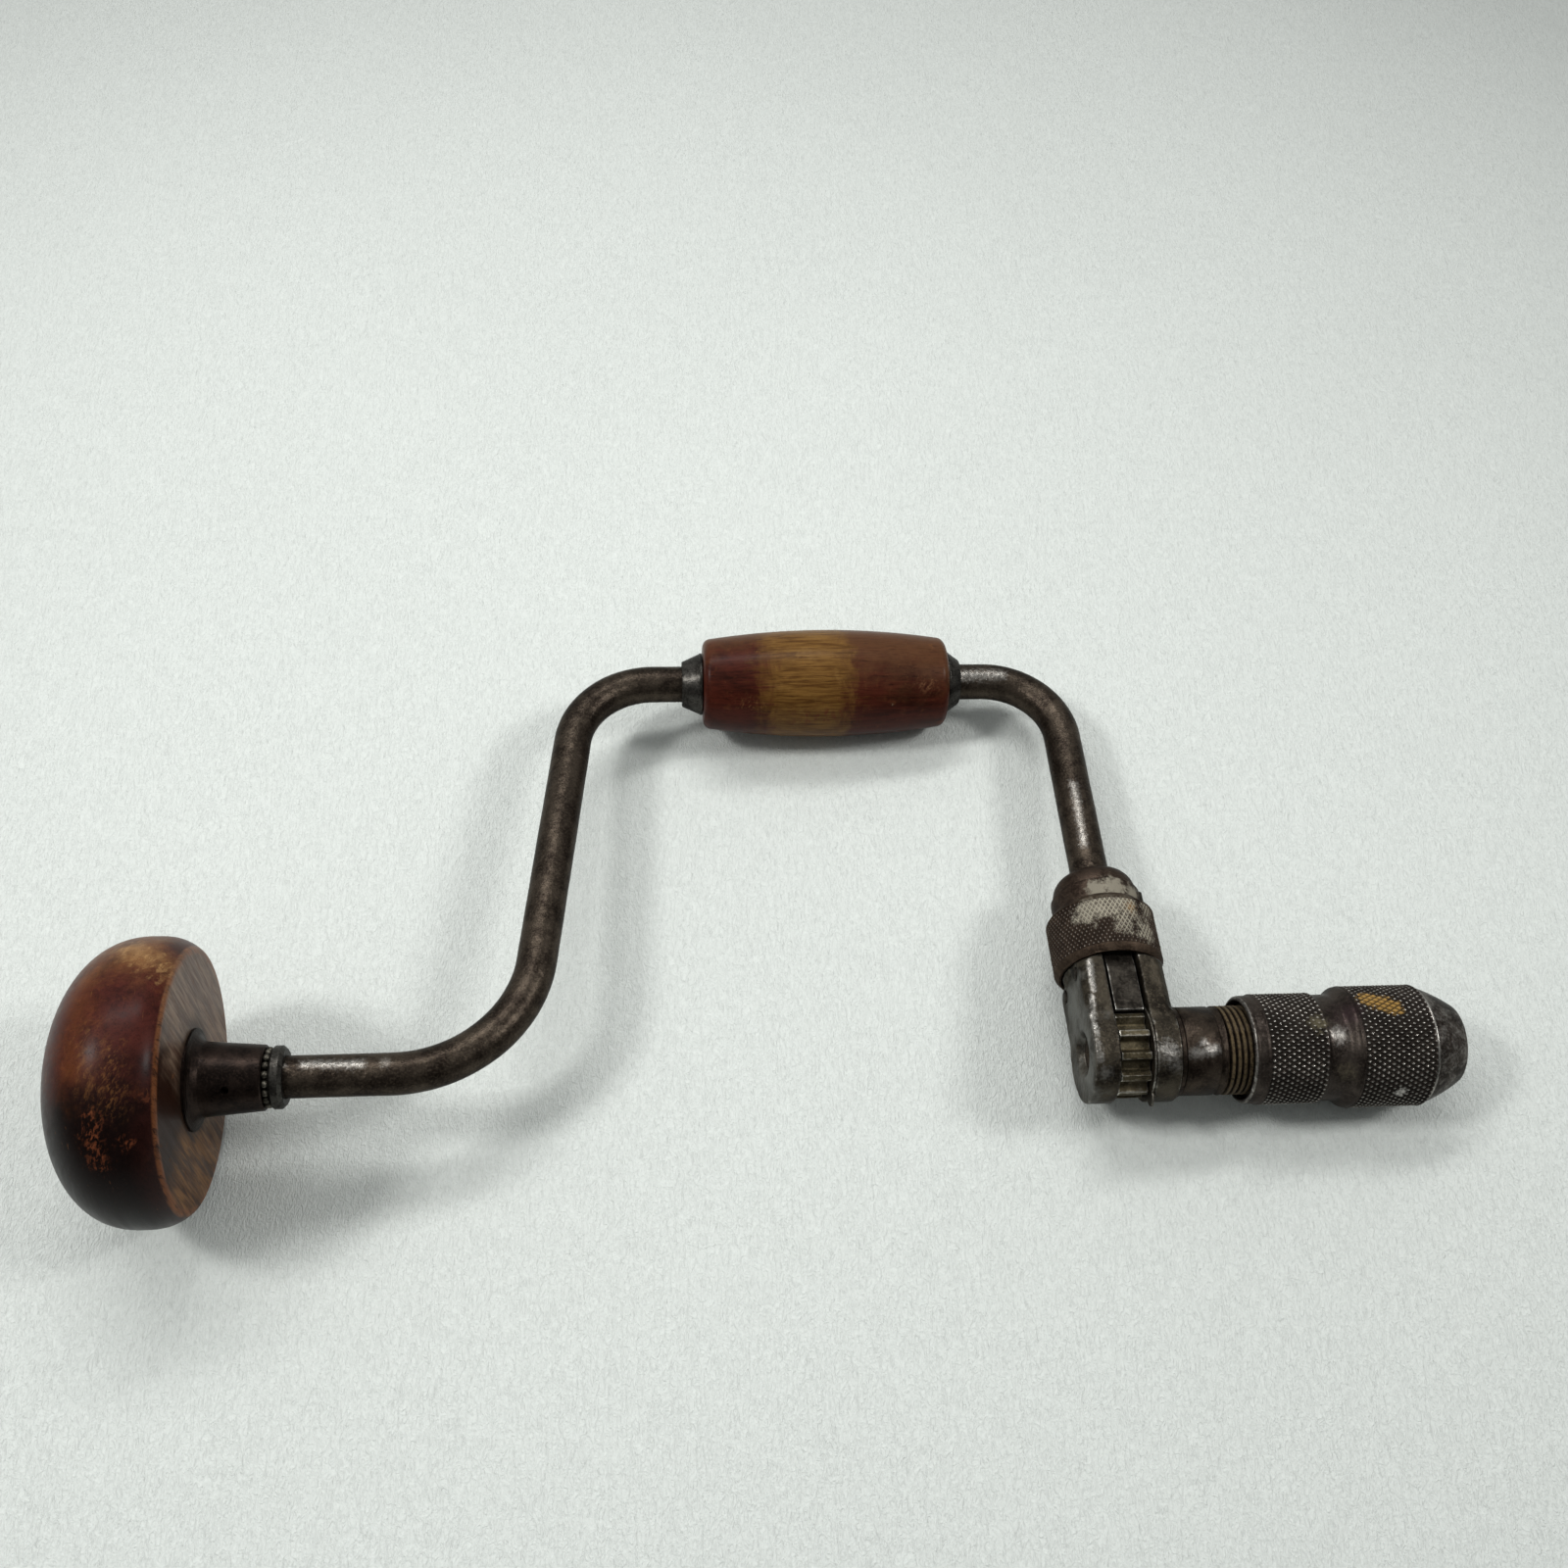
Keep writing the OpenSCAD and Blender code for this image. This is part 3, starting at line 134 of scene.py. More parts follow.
class Shader:
    """Builds one node material, with short calls for the nodes it needs."""

    def __init__(self, name: str) -> None:
        """Starts an empty material.

        Args:
            name: The material's name.
        """
        self.material = bpy.data.materials.new(name)
        self.material.use_nodes = True
        self.tree = self.material.node_tree
        self.tree.nodes.clear()

    def node(self, kind: str, **settings: object) -> bpy.types.Node:
        """Adds a node.

        Args:
            kind: The node's type, without its ShaderNode prefix.
            **settings: Attributes to set on the node.

        Returns:
            The new node.
        """
        made = self.tree.nodes.new("ShaderNode" + kind)
        for key, setting in settings.items():
            setattr(made, key, setting)
        return made

    def feed(self, socket: Socket, value: Union[Value, Tint, Vector]) -> None:
        """Links a socket to another, or sets its value.

        Args:
            socket: The input to feed.
            value: An output socket, or a plain value.
        """
        if isinstance(value, bpy.types.NodeSocket):
            self.tree.links.new(value, socket)
        elif isinstance(value, (int, float)):
            socket.default_value = value
        elif len(value) == 3 and socket.type == "RGBA":
            socket.default_value = (*value, 1.0)
        else:
            socket.default_value = value

    def maths(self, operation: str, a: Value, b: Value = 0.0) -> Socket:
        """Adds a Math node.

        Args:
            operation: The node's operation.
            a: The first number.
            b: The second number, which some operations leave out.

        Returns:
            The result's socket.
        """
        made = self.node("Math", operation=operation)
        self.feed(made.inputs[0], a)
        self.feed(made.inputs[1], b)
        return made.outputs[0]

    def plus(self, a: Value, b: Value) -> Socket:
        """Adds two numbers."""
        return self.maths("ADD", a, b)

    def minus(self, a: Value, b: Value) -> Socket:
        """Takes the second number from the first."""
        return self.maths("SUBTRACT", a, b)

    def times(self, a: Value, b: Value) -> Socket:
        """Multiplies two numbers."""
        return self.maths("MULTIPLY", a, b)

    def blend(self, *terms: tuple[Value, float]) -> Socket:
        """Adds up numbers, each in its share.

        Args:
            *terms: Pairs of a number and its share.

        Returns:
            The sum's socket.
        """
        total = self.times(*terms[0])
        for value, share in terms[1:]:
            total = self.plus(total, self.times(value, share))
        return total

    def sway(self, noise: Socket, reach: float, middle: float = 0.5) -> Socket:
        """Turns a noise into a number that sways to both sides of zero."""
        return self.times(self.minus(noise, middle), reach)

    def rise(self, value: Value, low: float, high: float) -> Socket:
        """Turns a value into a smooth mask.

        Args:
            value: The value to read.
            low: Where the mask is 0.
            high: Where the mask is 1; it may be below low.

        Returns:
            The mask's socket.
        """
        made = self.node("MapRange", interpolation_type="SMOOTHSTEP", clamp=True)
        flipped = high < low
        self.feed(made.inputs["Value"], value)
        made.inputs["From Min"].default_value = min(low, high)
        made.inputs["From Max"].default_value = max(low, high)
        made.inputs["To Min"].default_value = 1.0 if flipped else 0.0
        made.inputs["To Max"].default_value = 0.0 if flipped else 1.0
        return made.outputs[0]

    def mix(self, factor: Value, a: Tint, b: Tint, kind: str = "MIX") -> Socket:
        """Mixes two colours.

        Args:
            factor: The second colour's share.
            a: The first colour.
            b: The second colour.
            kind: How they are blended.

        Returns:
            The result's socket.
        """
        made = self.node("Mix", data_type="RGBA", blend_type=kind, clamp_factor=True)
        self.feed(made.inputs[0], factor)
        self.feed(made.inputs[6], a)
        self.feed(made.inputs[7], b)
        return made.outputs[2]

    def tinted(self, colour: Tint, tint: Tint) -> Socket:
        """Multiplies a colour by another."""
        return self.mix(1.0, colour, tint, "MULTIPLY")

    def between(self, factor: Value, a: Value, b: Value) -> Socket:
        """Mixes two numbers.

        Args:
            factor: The second number's share.
            a: The first number.
            b: The second number.

        Returns:
            The result's socket.
        """
        made = self.node("Mix", data_type="FLOAT", clamp_factor=True)
        self.feed(made.inputs[0], factor)
        self.feed(made.inputs[2], a)
        self.feed(made.inputs[3], b)
        return made.outputs[0]

    def noise(self, vector: Socket, grain: Grain) -> Socket:
        """Adds a noise texture.

        Args:
            vector: Where to read it, in mm.
            grain: Its settings.

        Returns:
            The noise's value socket.
        """
        made = self.node("TexNoise")
        self.feed(made.inputs["Vector"], vector)
        made.inputs["Scale"].default_value = grain.scale
        made.inputs["Detail"].default_value = grain.detail
        made.inputs["Roughness"].default_value = grain.rough
        made.inputs["Distortion"].default_value = grain.bend
        return made.outputs[0]

    def cells(self, vector: Socket, scale: float) -> Socket:
        """Adds a Voronoi texture.

        Args:
            vector: Where to read it, in mm.
            scale: Its frequency per mm.

        Returns:
            The socket of the distance to the nearest cell's point.
        """
        made = self.node("TexVoronoi")
        self.feed(made.inputs["Vector"], vector)
        made.inputs["Scale"].default_value = scale
        return made.outputs["Distance"]

    def place(self, turn: Sequence[float] = (0, 0, 0), stretch: Sequence[float] = (1, 1, 1),
              shift: Sequence[float] = (0, 0, 0)) -> Socket:
        """Gives a point of the surface in the brace's own frame, in mm.

        Args:
            turn: A further turn, in radians.
            stretch: A further scale along each axis.
            shift: A further shift, in mm, before the turn.

        Returns:
            The position's socket.
        """
        location, rotation, _ = STAND_UP.decompose()
        coords = self.node("TexCoord")
        up = self.node("Mapping", vector_type="POINT")
        self.feed(up.inputs["Vector"], coords.outputs["Object"])
        up.inputs["Scale"].default_value = (1 / MM,) * 3
        up.inputs["Rotation"].default_value = rotation.to_euler()
        up.inputs["Location"].default_value = location + Vector(shift)
        out = up.outputs[0]
        for key, setting, plain in (("Rotation", turn, (0, 0, 0)), ("Scale", stretch, (1, 1, 1))):
            if tuple(setting) != plain:
                further = self.node("Mapping", vector_type="POINT")
                self.feed(further.inputs["Vector"], out)
                further.inputs[key].default_value = setting
                out = further.outputs[0]
        return out

    def split(self, vector: Socket) -> tuple[Socket, Socket, Socket]:
        """Splits a vector.

        Args:
            vector: The vector.

        Returns:
            The sockets of its three numbers.
        """
        made = self.node("SeparateXYZ")
        self.feed(made.inputs[0], vector)
        return made.outputs[0], made.outputs[1], made.outputs[2]

    def mark(self, mark: Mark) -> Socket:
        """Reads a number that the mesh carries at its points."""
        return self.node("Attribute", attribute_type="GEOMETRY", attribute_name=mark.value).outputs["Fac"]

    def vector(self, operation: str, a: Union[Socket, Vector],
               b: Union[Socket, Vector]) -> bpy.types.Node:
        """Adds a Vector Math node.

        Args:
            operation: The node's operation.
            a: The first vector.
            b: The second vector.

        Returns:
            The node.
        """
        made = self.node("VectorMath", operation=operation)
        self.feed(made.inputs[0], a)
        self.feed(made.inputs[1], b)
        return made

    def far_from(self, centre: Sequence[float], end: Optional[Sequence[float]] = None) -> Socket:
        """Gives the distance from a point or a short line of the brace's own frame.

        Args:
            centre: The point, or where the line starts, in mm.
            end: Where the line ends.

        Returns:
            The distance's socket, in mm.
        """
        start = Vector(centre)
        if end is None:
            return self.vector("DISTANCE", self.place(), start).outputs["Value"]
        along = Vector(end) - start
        away = self.vector("SUBTRACT", self.place(), start).outputs[0]
        share = self.vector("DOT_PRODUCT", away, along / along.length_squared).outputs["Value"]
        foot = self.node("VectorMath", operation="SCALE")
        foot.inputs[0].default_value = along
        self.feed(foot.inputs["Scale"], self.maths("MAXIMUM", self.maths("MINIMUM", share, 1.0), 0.0))
        return self.vector("DISTANCE", away, foot.outputs[0]).outputs["Value"]

    def relief(self, height: Socket, strength: float, depth: float,
               below: Optional[Socket] = None) -> Socket:
        """Adds a bump.

        Args:
            height: The height to read.
            strength: How strong the bump is.
            depth: What a height of 1 means, in mm.
            below: The bump under this one.

        Returns:
            The normal's socket.
        """
        made = self.node("Bump")
        made.inputs["Strength"].default_value = strength
        made.inputs["Distance"].default_value = depth * MM
        self.feed(made.inputs["Height"], height)
        if below is not None:
            self.feed(made.inputs["Normal"], below)
        return made.outputs[0]

    def close(self, colour: Tint, roughness: Value, metallic: Value, normal: Socket,
              coat: float = 0.0, gloss: float = 0.5, rim: float = 1.0) -> bpy.types.Material:
        """Ends the material in one surface.

        Args:
            colour: The base colour.
            roughness: The roughness.
            metallic: How metallic it is.
            normal: The bumped normal.
            coat: The weight of a clear coat.
            gloss: How strongly the surface under the coat mirrors.
            rim: How bright the mirroring is where the surface turns away.

        Returns:
            The finished material.
        """
        surface = self.node("BsdfPrincipled")
        self.feed(surface.inputs["Base Color"], colour)
        self.feed(surface.inputs["Roughness"], roughness)
        self.feed(surface.inputs["Metallic"], metallic)
        surface.inputs["Specular IOR Level"].default_value = gloss
        surface.inputs["Specular Tint"].default_value = (rim, rim, rim, 1.0)
        surface.inputs["Coat Weight"].default_value = coat
        surface.inputs["Coat Roughness"].default_value = COAT_ROUGHNESS
        self.feed(surface.inputs["Normal"], normal)
        self.tree.links.new(surface.outputs[0], self.node("OutputMaterial").inputs[0])
        return self.material


# Which marks of a knurl count as its hollows.
HOLLOW_FROM, HOLLOW_TO = 0.58, 0.84
# How much wider than its radius a spot's noise may push its edge.
SPOT_SPREAD = 1.6
# The strokes that break a spot into chips: their turn and stretch, and where they stop and start.
STROKE_TURN, STROKE_STRETCH = (0.0, 0.0, 0.5), (1.7, 0.7, 1.0)
STROKE_OFF, STROKE_ON = 0.48, 0.62


@dataclass(frozen=True)
class Spot:
    """A stain, a worn place or a painted highlight: a soft ball in the brace's own frame, with an edge that
    noise makes ragged.

    With an end it is a soft line from its centre to there. Broken is the frequency per mm of the
    strokes that break it into chips. Hollows above 0 keep it to the marked hollows, and below 0
    out of them.
    """

    centre: tuple[float, float, float]
    radius: float
    colour: Colour
    strength: float = 1.0
    grain: float = 0.5
    metallic: float = 0.0
    roughness: float = 0.6
    soft: float = 0.45
    hollows: float = 0.0
    end: Optional[tuple[float, float, float]] = None
    broken: float = 0.0

    def mask(self, shader: Shader) -> Socket:
        """Gives the spot's mask.

        Args:
            shader: The shader it is for.

        Returns:
            The mask's socket, from 0 to the spot's strength.
        """
        edge = self.radius * SPOT_SPREAD
        ragged = shader.times(shader.noise(shader.place(), Grain(self.grain, 4.0, 0.65)), edge)
        reach = shader.plus(shader.far_from(self.centre, self.end), ragged)
        strength: Value = self.strength
        if self.hollows:
            hollow = shader.rise(shader.mark(Mark.GRIME), HOLLOW_FROM, HOLLOW_TO)
            kept = shader.between(hollow, 1.0 - max(self.hollows, 0.0), 1.0 + min(self.hollows, 0.0))
            strength = shader.times(kept, self.strength)
        if self.broken:
            where = shader.place(STROKE_TURN, STROKE_STRETCH)
            strokes = shader.noise(where, Grain(self.broken, 4.0, 0.66, 0.4))
            strength = shader.times(shader.rise(strokes, STROKE_OFF, STROKE_ON), strength)
        return shader.times(shader.rise(reach, edge, edge * (1.0 - self.soft)), strength)


# The steel's clouds, blotches, fine grain and dust, and where pits are rare.
STEEL_BLOTCH = Grain(0.50, 5.0, 0.68, 0.5)
STEEL_FINE = Grain(1.6, 4.0, 0.65)
STEEL_DUST = Grain(6.0, 3.0, 0.7)
STEEL_RARE = Grain(0.5, 2.0)
# What rubbing owes to proud edges, fine grain, blotches and clouds, and where it starts and ends.
RUB_EDGE, RUB_FINE, RUB_BLOTCH, RUB_CLOUD = 0.58, 0.22, 0.38, 0.22
RUB_START, RUB_END = 0.74, 1.02
# Pits per mm, and the distance from a pit's middle at which it starts and ends.
PITS_PER_MM, PIT_CORE, PIT_EDGE = 1.1, 0.10, 0.26
# How metallic patina, rubbed steel and dirt are, and how rough dirt is.
PATINA_METAL, BARE_METAL, DIRT_METAL, DIRT_ROUGHNESS = 0.72, 1.0, 0.15, 0.8
# How much brighter than its middle tone the patina's light grain is.
PATINA_LIFT = 1.6
STEEL_GLOSS = 0.25


@dataclass(frozen=True)
class SteelFinish:
    """Old steel: a mottled patina, worn bright where hands and parts have rubbed it.

    Wear says how easily it is rubbed bright, mottle is the clouds' frequency per mm, rough holds
    the roughness of rubbed and of dull steel, rim is how bright its mirroring is where it turns
    away, and dent is the depth of its dents in mm.
    """

    name: str
    dark: Colour = (0.030, 0.024, 0.019)
    mid: Colour = (0.085, 0.070, 0.056)
    bright: Colour = (0.42, 0.40, 0.37)
    wear: float = 0.35
    mottle: float = 0.22
    grime: Colour = (0.11, 0.070, 0.028)
    grime_amount: float = 0.5
    rough: tuple[float, float] = (0.30, 0.52)
    pits: float = 0.5
    rim: float = 0.45
    dent: float = 0.12
    spots: tuple[Spot, ...] = ()
    seed: float = 0.0

    def material(self) -> bpy.types.Material:
        """Makes the finish's material.

        Returns:
            The material.
        """
        s = Shader(self.name)
        where = s.place(shift=(self.seed, 2 * self.seed, 0))
        cloud = s.noise(where, Grain(self.mottle, 5.0, 0.6, 0.4))
        blotch = s.noise(where, STEEL_BLOTCH)
        fine = s.noise(where, STEEL_FINE)
        dust = s.noise(where, STEEL_DUST)
        edge = s.mark(Mark.WEAR)
        hollow = s.mark(Mark.GRIME)
        patina = s.mix(s.rise(cloud, 0.35, 0.68), self.dark, self.mid)
        lifted = tuple(PATINA_LIFT * c for c in self.mid)
        patina = s.mix(s.times(s.rise(fine, 0.45, 0.72), 0.6), patina, lifted)
        rub = s.blend((edge, RUB_EDGE), (fine, RUB_FINE), (blotch, RUB_BLOTCH), (cloud, RUB_CLOUD))
        worn = s.rise(rub, RUB_START - self.wear, RUB_END - self.wear)
        colour = s.mix(worn, patina, self.bright)
        dirt = s.times(s.rise(hollow, 0.15, 0.85), self.grime_amount)
        dirt = s.times(dirt, s.rise(fine, 0.25, 0.6))
        colour = s.mix(dirt, colour, self.grime)
        whole = s.rise(s.cells(where, PITS_PER_MM), PIT_CORE, PIT_EDGE)
        whole = s.maths("MAXIMUM", whole, s.rise(s.noise(where, STEEL_RARE), 0.60, 0.48))
        colour = s.mix(s.times(s.minus(1.0, whole), self.pits), colour, self.dark)
        metal = s.between(dirt, s.between(worn, PATINA_METAL, BARE_METAL), DIRT_METAL)
        bright_rough, dull_rough = self.rough
        rough = s.between(worn, s.between(cloud, dull_rough, dull_rough - 0.06), bright_rough)
        rough = s.plus(rough, s.sway(fine, 0.25))
        rough = s.between(dirt, rough, DIRT_ROUGHNESS)
        for spot in self.spots:
            mask = spot.mask(s)
            colour = s.mix(mask, colour, spot.colour)
            metal = s.between(mask, metal, spot.metallic)
            rough = s.between(mask, rough, spot.roughness)
        normal = s.relief(blotch, 1.0, self.dent)
        normal = s.relief(s.blend((fine, 0.55), (dust, 0.25)), 0.6, 0.06, normal)
        normal = s.relief(whole, 0.7 * self.pits, 0.08, normal)
        return s.close(colour, rough, metal, normal, gloss=STEEL_GLOSS, rim=self.rim)


# The wood's clouds, streaks, thin lines, pores, blotches and nicks, and how the last three stretch.
WOOD_CLOUD = Grain(0.055, 4.0, 0.6, 0.8)
WOOD_STREAK = Grain(0.55, 5.0, 0.62, 0.6)
WOOD_LINE = Grain(2.4, 4.0, 0.6, 0.2)
WOOD_PORE = Grain(1.0, 2.0, 0.5)
WOOD_BLOTCH = Grain(0.30, 4.0, 0.6, 0.5)
WOOD_NICK = Grain(1.1, 3.0, 0.6)
FIBRE_STRETCH, PORE_STRETCH, NICK_STRETCH = (0.05, 1.0, 1.0), (0.16, 2.6, 2.6), (0.5, 0.22, 1.4)
# What thin lines and pores leave of the wood's colour.
LINE_TINT, PORE_TINT = (0.42, 0.34, 0.30), (0.25, 0.20, 0.18)


@dataclass(frozen=True)
class WoodFinish:
    """Stained and varnished hardwood, with streaks along its fibres and worn places."""

    name: str
    fibre: tuple[float, float, float]
    dark: Colour
    mid: Colour
    light: Colour
    worn: Colour
    spots: tuple[Spot, ...] = ()
    rough: float = 0.34
    coat: float = 0.03
    gloss: float = 0.07
    scratch: float = 0.25
    seed: float = 0.0

    def material(self, extra: Callable[[Shader, Socket], Socket]) -> bpy.types.Material:
        """Makes the finish's material.

        Args:
            extra: Changes the wood's colour before the spots are laid on it.

        Returns:
            The material.
        """
        s = Shader(self.name)
        turn = turned_to(self.fibre)
        fibres = s.place(turn, FIBRE_STRETCH, (self.seed, self.seed, self.seed))
        pores = s.place(turn, PORE_STRETCH, (self.seed, 0, self.seed))
        where = s.place(shift=(self.seed, 0, 0))
        cloud = s.noise(where, WOOD_CLOUD)
        streak = s.noise(fibres, WOOD_STREAK)
        thin = s.noise(fibres, WOOD_LINE)
        pore = s.noise(pores, WOOD_PORE)
        blotch = s.noise(where, WOOD_BLOTCH)
        tone = s.blend((cloud, 0.55), (streak, 0.50))
        colour = s.mix(s.rise(tone, 0.36, 0.66), self.dark, self.mid)
        colour = s.mix(s.times(s.rise(blotch, 0.55, 0.75), 0.5), colour, self.light)
        colour = extra(s, colour)
        for spot in self.spots:
            colour = s.mix(spot.mask(s), colour, spot.colour)
        lines = s.times(s.rise(thin, 0.50, 0.68), 0.55)
        colour = s.mix(lines, colour, s.tinted(colour, LINE_TINT))
        specks = s.times(s.rise(pore, 0.62, 0.72), 0.60)
        colour = s.mix(specks, colour, s.tinted(colour, PORE_TINT))
        wear = s.rise(s.plus(s.mark(Mark.WEAR), s.times(blotch, 0.6)), 0.72, 1.15)
        colour = s.mix(s.times(wear, 0.7), colour, self.worn)
        nicks = s.rise(s.noise(s.place(turn, NICK_STRETCH), WOOD_NICK), 0.66, 0.74)
        nicks = s.times(nicks, self.scratch)
        colour = s.mix(nicks, colour, self.worn)
        rough = s.plus(self.rough, s.sway(streak, 0.30, 0.45))
        rough = s.plus(rough, s.times(nicks, 0.6))
        height = s.minus(s.blend((specks, -0.7), (streak, 0.35)), s.times(nicks, 0.6))
        return s.close(colour, rough, 0.0, s.relief(height, 0.45, 0.10), self.coat, self.gloss)


# ---- meshes --------------------------------------------------------------------------


# A corner that bends less than this (as a cosine) is left alone, and a rounding takes at most
# this share of its shorter side.
STRAIGHT, ROUNDING_SHARE = -0.985, 0.4


def soften(points: Sequence[tuple[float, float]], radius: float, steps: int = 3) -> np.ndarray:
    """Rounds the corners of a closed outline.

    Args:
        points: The outline's (station, radius) corners, in mm.
        radius: How far from a corner the rounding starts.
        steps: Points in one rounding.

    Returns:
        The rounded outline.
    """
    corners = np.asarray(points, float)
    made = []
    for before, corner, after in zip(np.roll(corners, 1, axis=0), corners, np.roll(corners, -1, axis=0)):
        to_before, to_after = before - corner, after - corner
        room_before, room_after = np.linalg.norm(to_before), np.linalg.norm(to_after)
        cosine = float(to_before @ to_after) / max(room_before * room_after, 1e-9)
        if cosine < STRAIGHT:
            made.append(corner)
            continue
        start = corner + to_before / room_before * min(radius, ROUNDING_SHARE * room_before)
        end = corner + to_after / room_after * min(radius, ROUNDING_SHARE * room_after)
        for t in np.linspace(0, 1, steps + 1):
            made.append((1 - t) ** 2 * start + 2 * t * (1 - t) * corner + t * t * end)
    return np.array(made)


def densify(line: np.ndarray, step: float, closed: bool = True) -> np.ndarray:
    """Adds points to the long stretches of a line.

    Args:
        line: The line's points.
        step: The longest stretch that is left, in mm.
        closed: Whether its last point is joined to its first.

    Returns:
        The denser line.
    """
    made = []
    ends = np.roll(line, -1, axis=0) if closed else line[1:]
    for a, b in zip(line, ends):
        pieces = max(1, int(math.ceil(np.linalg.norm(b - a) / step)))
        made.extend(a + (b - a) * k / pieces for k in range(pieces))
    return np.array(made if closed else made + [line[-1]])


def angles(columns: int) -> np.ndarray:
    """Gives evenly spaced angles round an axis, in radians, as one row."""
    return np.linspace(0, 2 * np.pi, columns, endpoint=False)[None, :]


# How much sharper than a plain diamond the knurl's flanks are, which blunts its tips.
FLANK_GAIN = 1.18


def knurl(station: np.ndarray, angle: np.ndarray, radius: float, pitch: float, lead: float,
          depth: float) -> np.ndarray:
    """Gives the height of a diamond knurl.

    Args:
        station: Places along the axis, in mm.
        angle: Angles round it, in radians.
        radius: The knurl's radius, in mm.
        pitch: The diamonds' width round the axis, in mm.
        lead: The diamonds' length along it, in mm.
        depth: The grooves' depth, in mm.

    Returns:
        Heights from 0 in a groove to depth on a diamond.
    """
    starts = round(2 * math.pi * radius / pitch)
    turn = starts * angle / (2 * math.pi)
    flank = [1 - np.abs(2 * ((turn + way * station / lead) % 1.0) - 1) for way in (1, -1)]
    return depth * np.clip(FLANK_GAIN * np.minimum(*flank), 0, 1)


def grid_faces(rows: int, columns: int, loop: bool) -> list[tuple[int, ...]]:
    """Joins rows of points that close round an axis.

    Args:
        rows: The number of rows.
        columns: The points of one row.
        loop: Whether the last row joins the first.

    Returns:
        The faces.
    """
    faces = []
    for i in range(rows if loop else rows - 1):
        a, b = i * columns, ((i + 1) % rows) * columns
        for j in range(columns):
            k = (j + 1) % columns
            faces.append((a + j, a + k, b + k, b + j))
    return faces


@dataclass
class Surface:
    """A mesh in the making, in mm in the brace's own frame."""

    name: str
    points: np.ndarray
    faces: list[tuple[int, ...]]
    marks: dict[Mark, np.ndarray]

    @classmethod
    def revolved(cls, name: str, station: np.ndarray, radius: np.ndarray, axis: Axis,
                 loop: bool = True, marks: Optional[dict[Mark, np.ndarray]] = None) -> "Surface":
        """Makes a surface of revolution.

        Args:
            name: The piece's name.
            station: Places along the axis for each row, or for each row and column.
            radius: Radii for each row and column.
            axis: The axis.
            loop: Whether the last row joins the first.
            marks: Numbers for each row and column.

        Returns:
            The surface.
        """
        rows, columns = radius.shape
        angle = angles(columns)
        if station.ndim == 1:
            station = np.repeat(station[:, None], columns, axis=1)
        across, up = radius * np.cos(angle), radius * np.sin(angle)
        local = np.stack([station, across, up, np.ones_like(radius)], -1)
        points = local.reshape(-1, 4) @ np.array(axis.value).T
        flat = {mark: np.broadcast_to(value, radius.shape).reshape(-1)
                for mark, value in (marks or {}).items()}
        return cls(name, points[:, :3], grid_faces(rows, columns, loop), flat)

    @classmethod
    def turned(cls, name: str, outline: np.ndarray, axis: Axis, columns: int = 128) -> "Surface":
        """Makes a plain turned piece.

        Args:
            name: The piece's name.
            outline: Its closed outline of (station, radius), in mm.
            axis: The axis.
            columns: Points round the axis.

        Returns:
            The surface.
        """
        radius = np.repeat(outline[:, 1:2], columns, axis=1)
        return cls.revolved(name, outline[:, 0], radius, axis)

    def build(self, sharp: float) -> bpy.types.Object:
        """Makes the Blender object in the row frame.

        Args:
            sharp: Edges that bend by more than this many degrees stay sharp.

        Returns:
            The object.
        """
        matrix = np.array(LAY_DOWN)
        world = self.points @ matrix[:3, :3].T + matrix[:3, 3]
        mesh = bpy.data.meshes.new(self.name)
        mesh.from_pydata(world.tolist(), [], self.faces)
        write_marks(mesh, self.marks)
        mesh.validate()
        made = placed(self.name, mesh)
        turn_outwards(mesh)
        shade(mesh, sharp)
        return made


def write_marks(mesh: bpy.types.Mesh, marks: dict[Mark, np.ndarray]) -> None:
    """Stores marks at a mesh's points.

    Args:
        mesh: The mesh.
        marks: A number for each point, for each mark.
    """
    for mark, values in marks.items():
        layer = mesh.attributes.new(mark.value, "FLOAT", "POINT")
        layer.data.foreach_set("value", np.ascontiguousarray(values, np.float32))


def placed(name: str, data: bpy.types.ID) -> bpy.types.Object:
    """Makes an object of a mesh, lamp or camera and puts it in the scene.

    Args:
        name: The object's name.
        data: Its mesh, lamp or camera.

    Returns:
        The object.
    """
    made = bpy.data.objects.new(name, data)
    bpy.context.scene.collection.objects.link(made)
    return made


def shade(mesh: bpy.types.Mesh, sharp: float) -> None:
    """Shades a mesh smoothly, but for edges that bend by more than so many degrees."""
    mesh.shade_smooth()
    mesh.set_sharp_from_angle(angle=math.radians(sharp))


def turn_outwards(mesh: bpy.types.Mesh) -> None:
    """Turns all faces of a mesh outwards.

    Args:
        mesh: The mesh, which is changed.
    """
    work = bmesh.new()
    work.from_mesh(mesh)
    bmesh.ops.recalc_face_normals(work, faces=work.faces)
    work.to_mesh(mesh)
    work.free()


# The share of its own bend that a point keeps in each pass that spreads it to its neighbours.
OWN_SHARE = 0.4


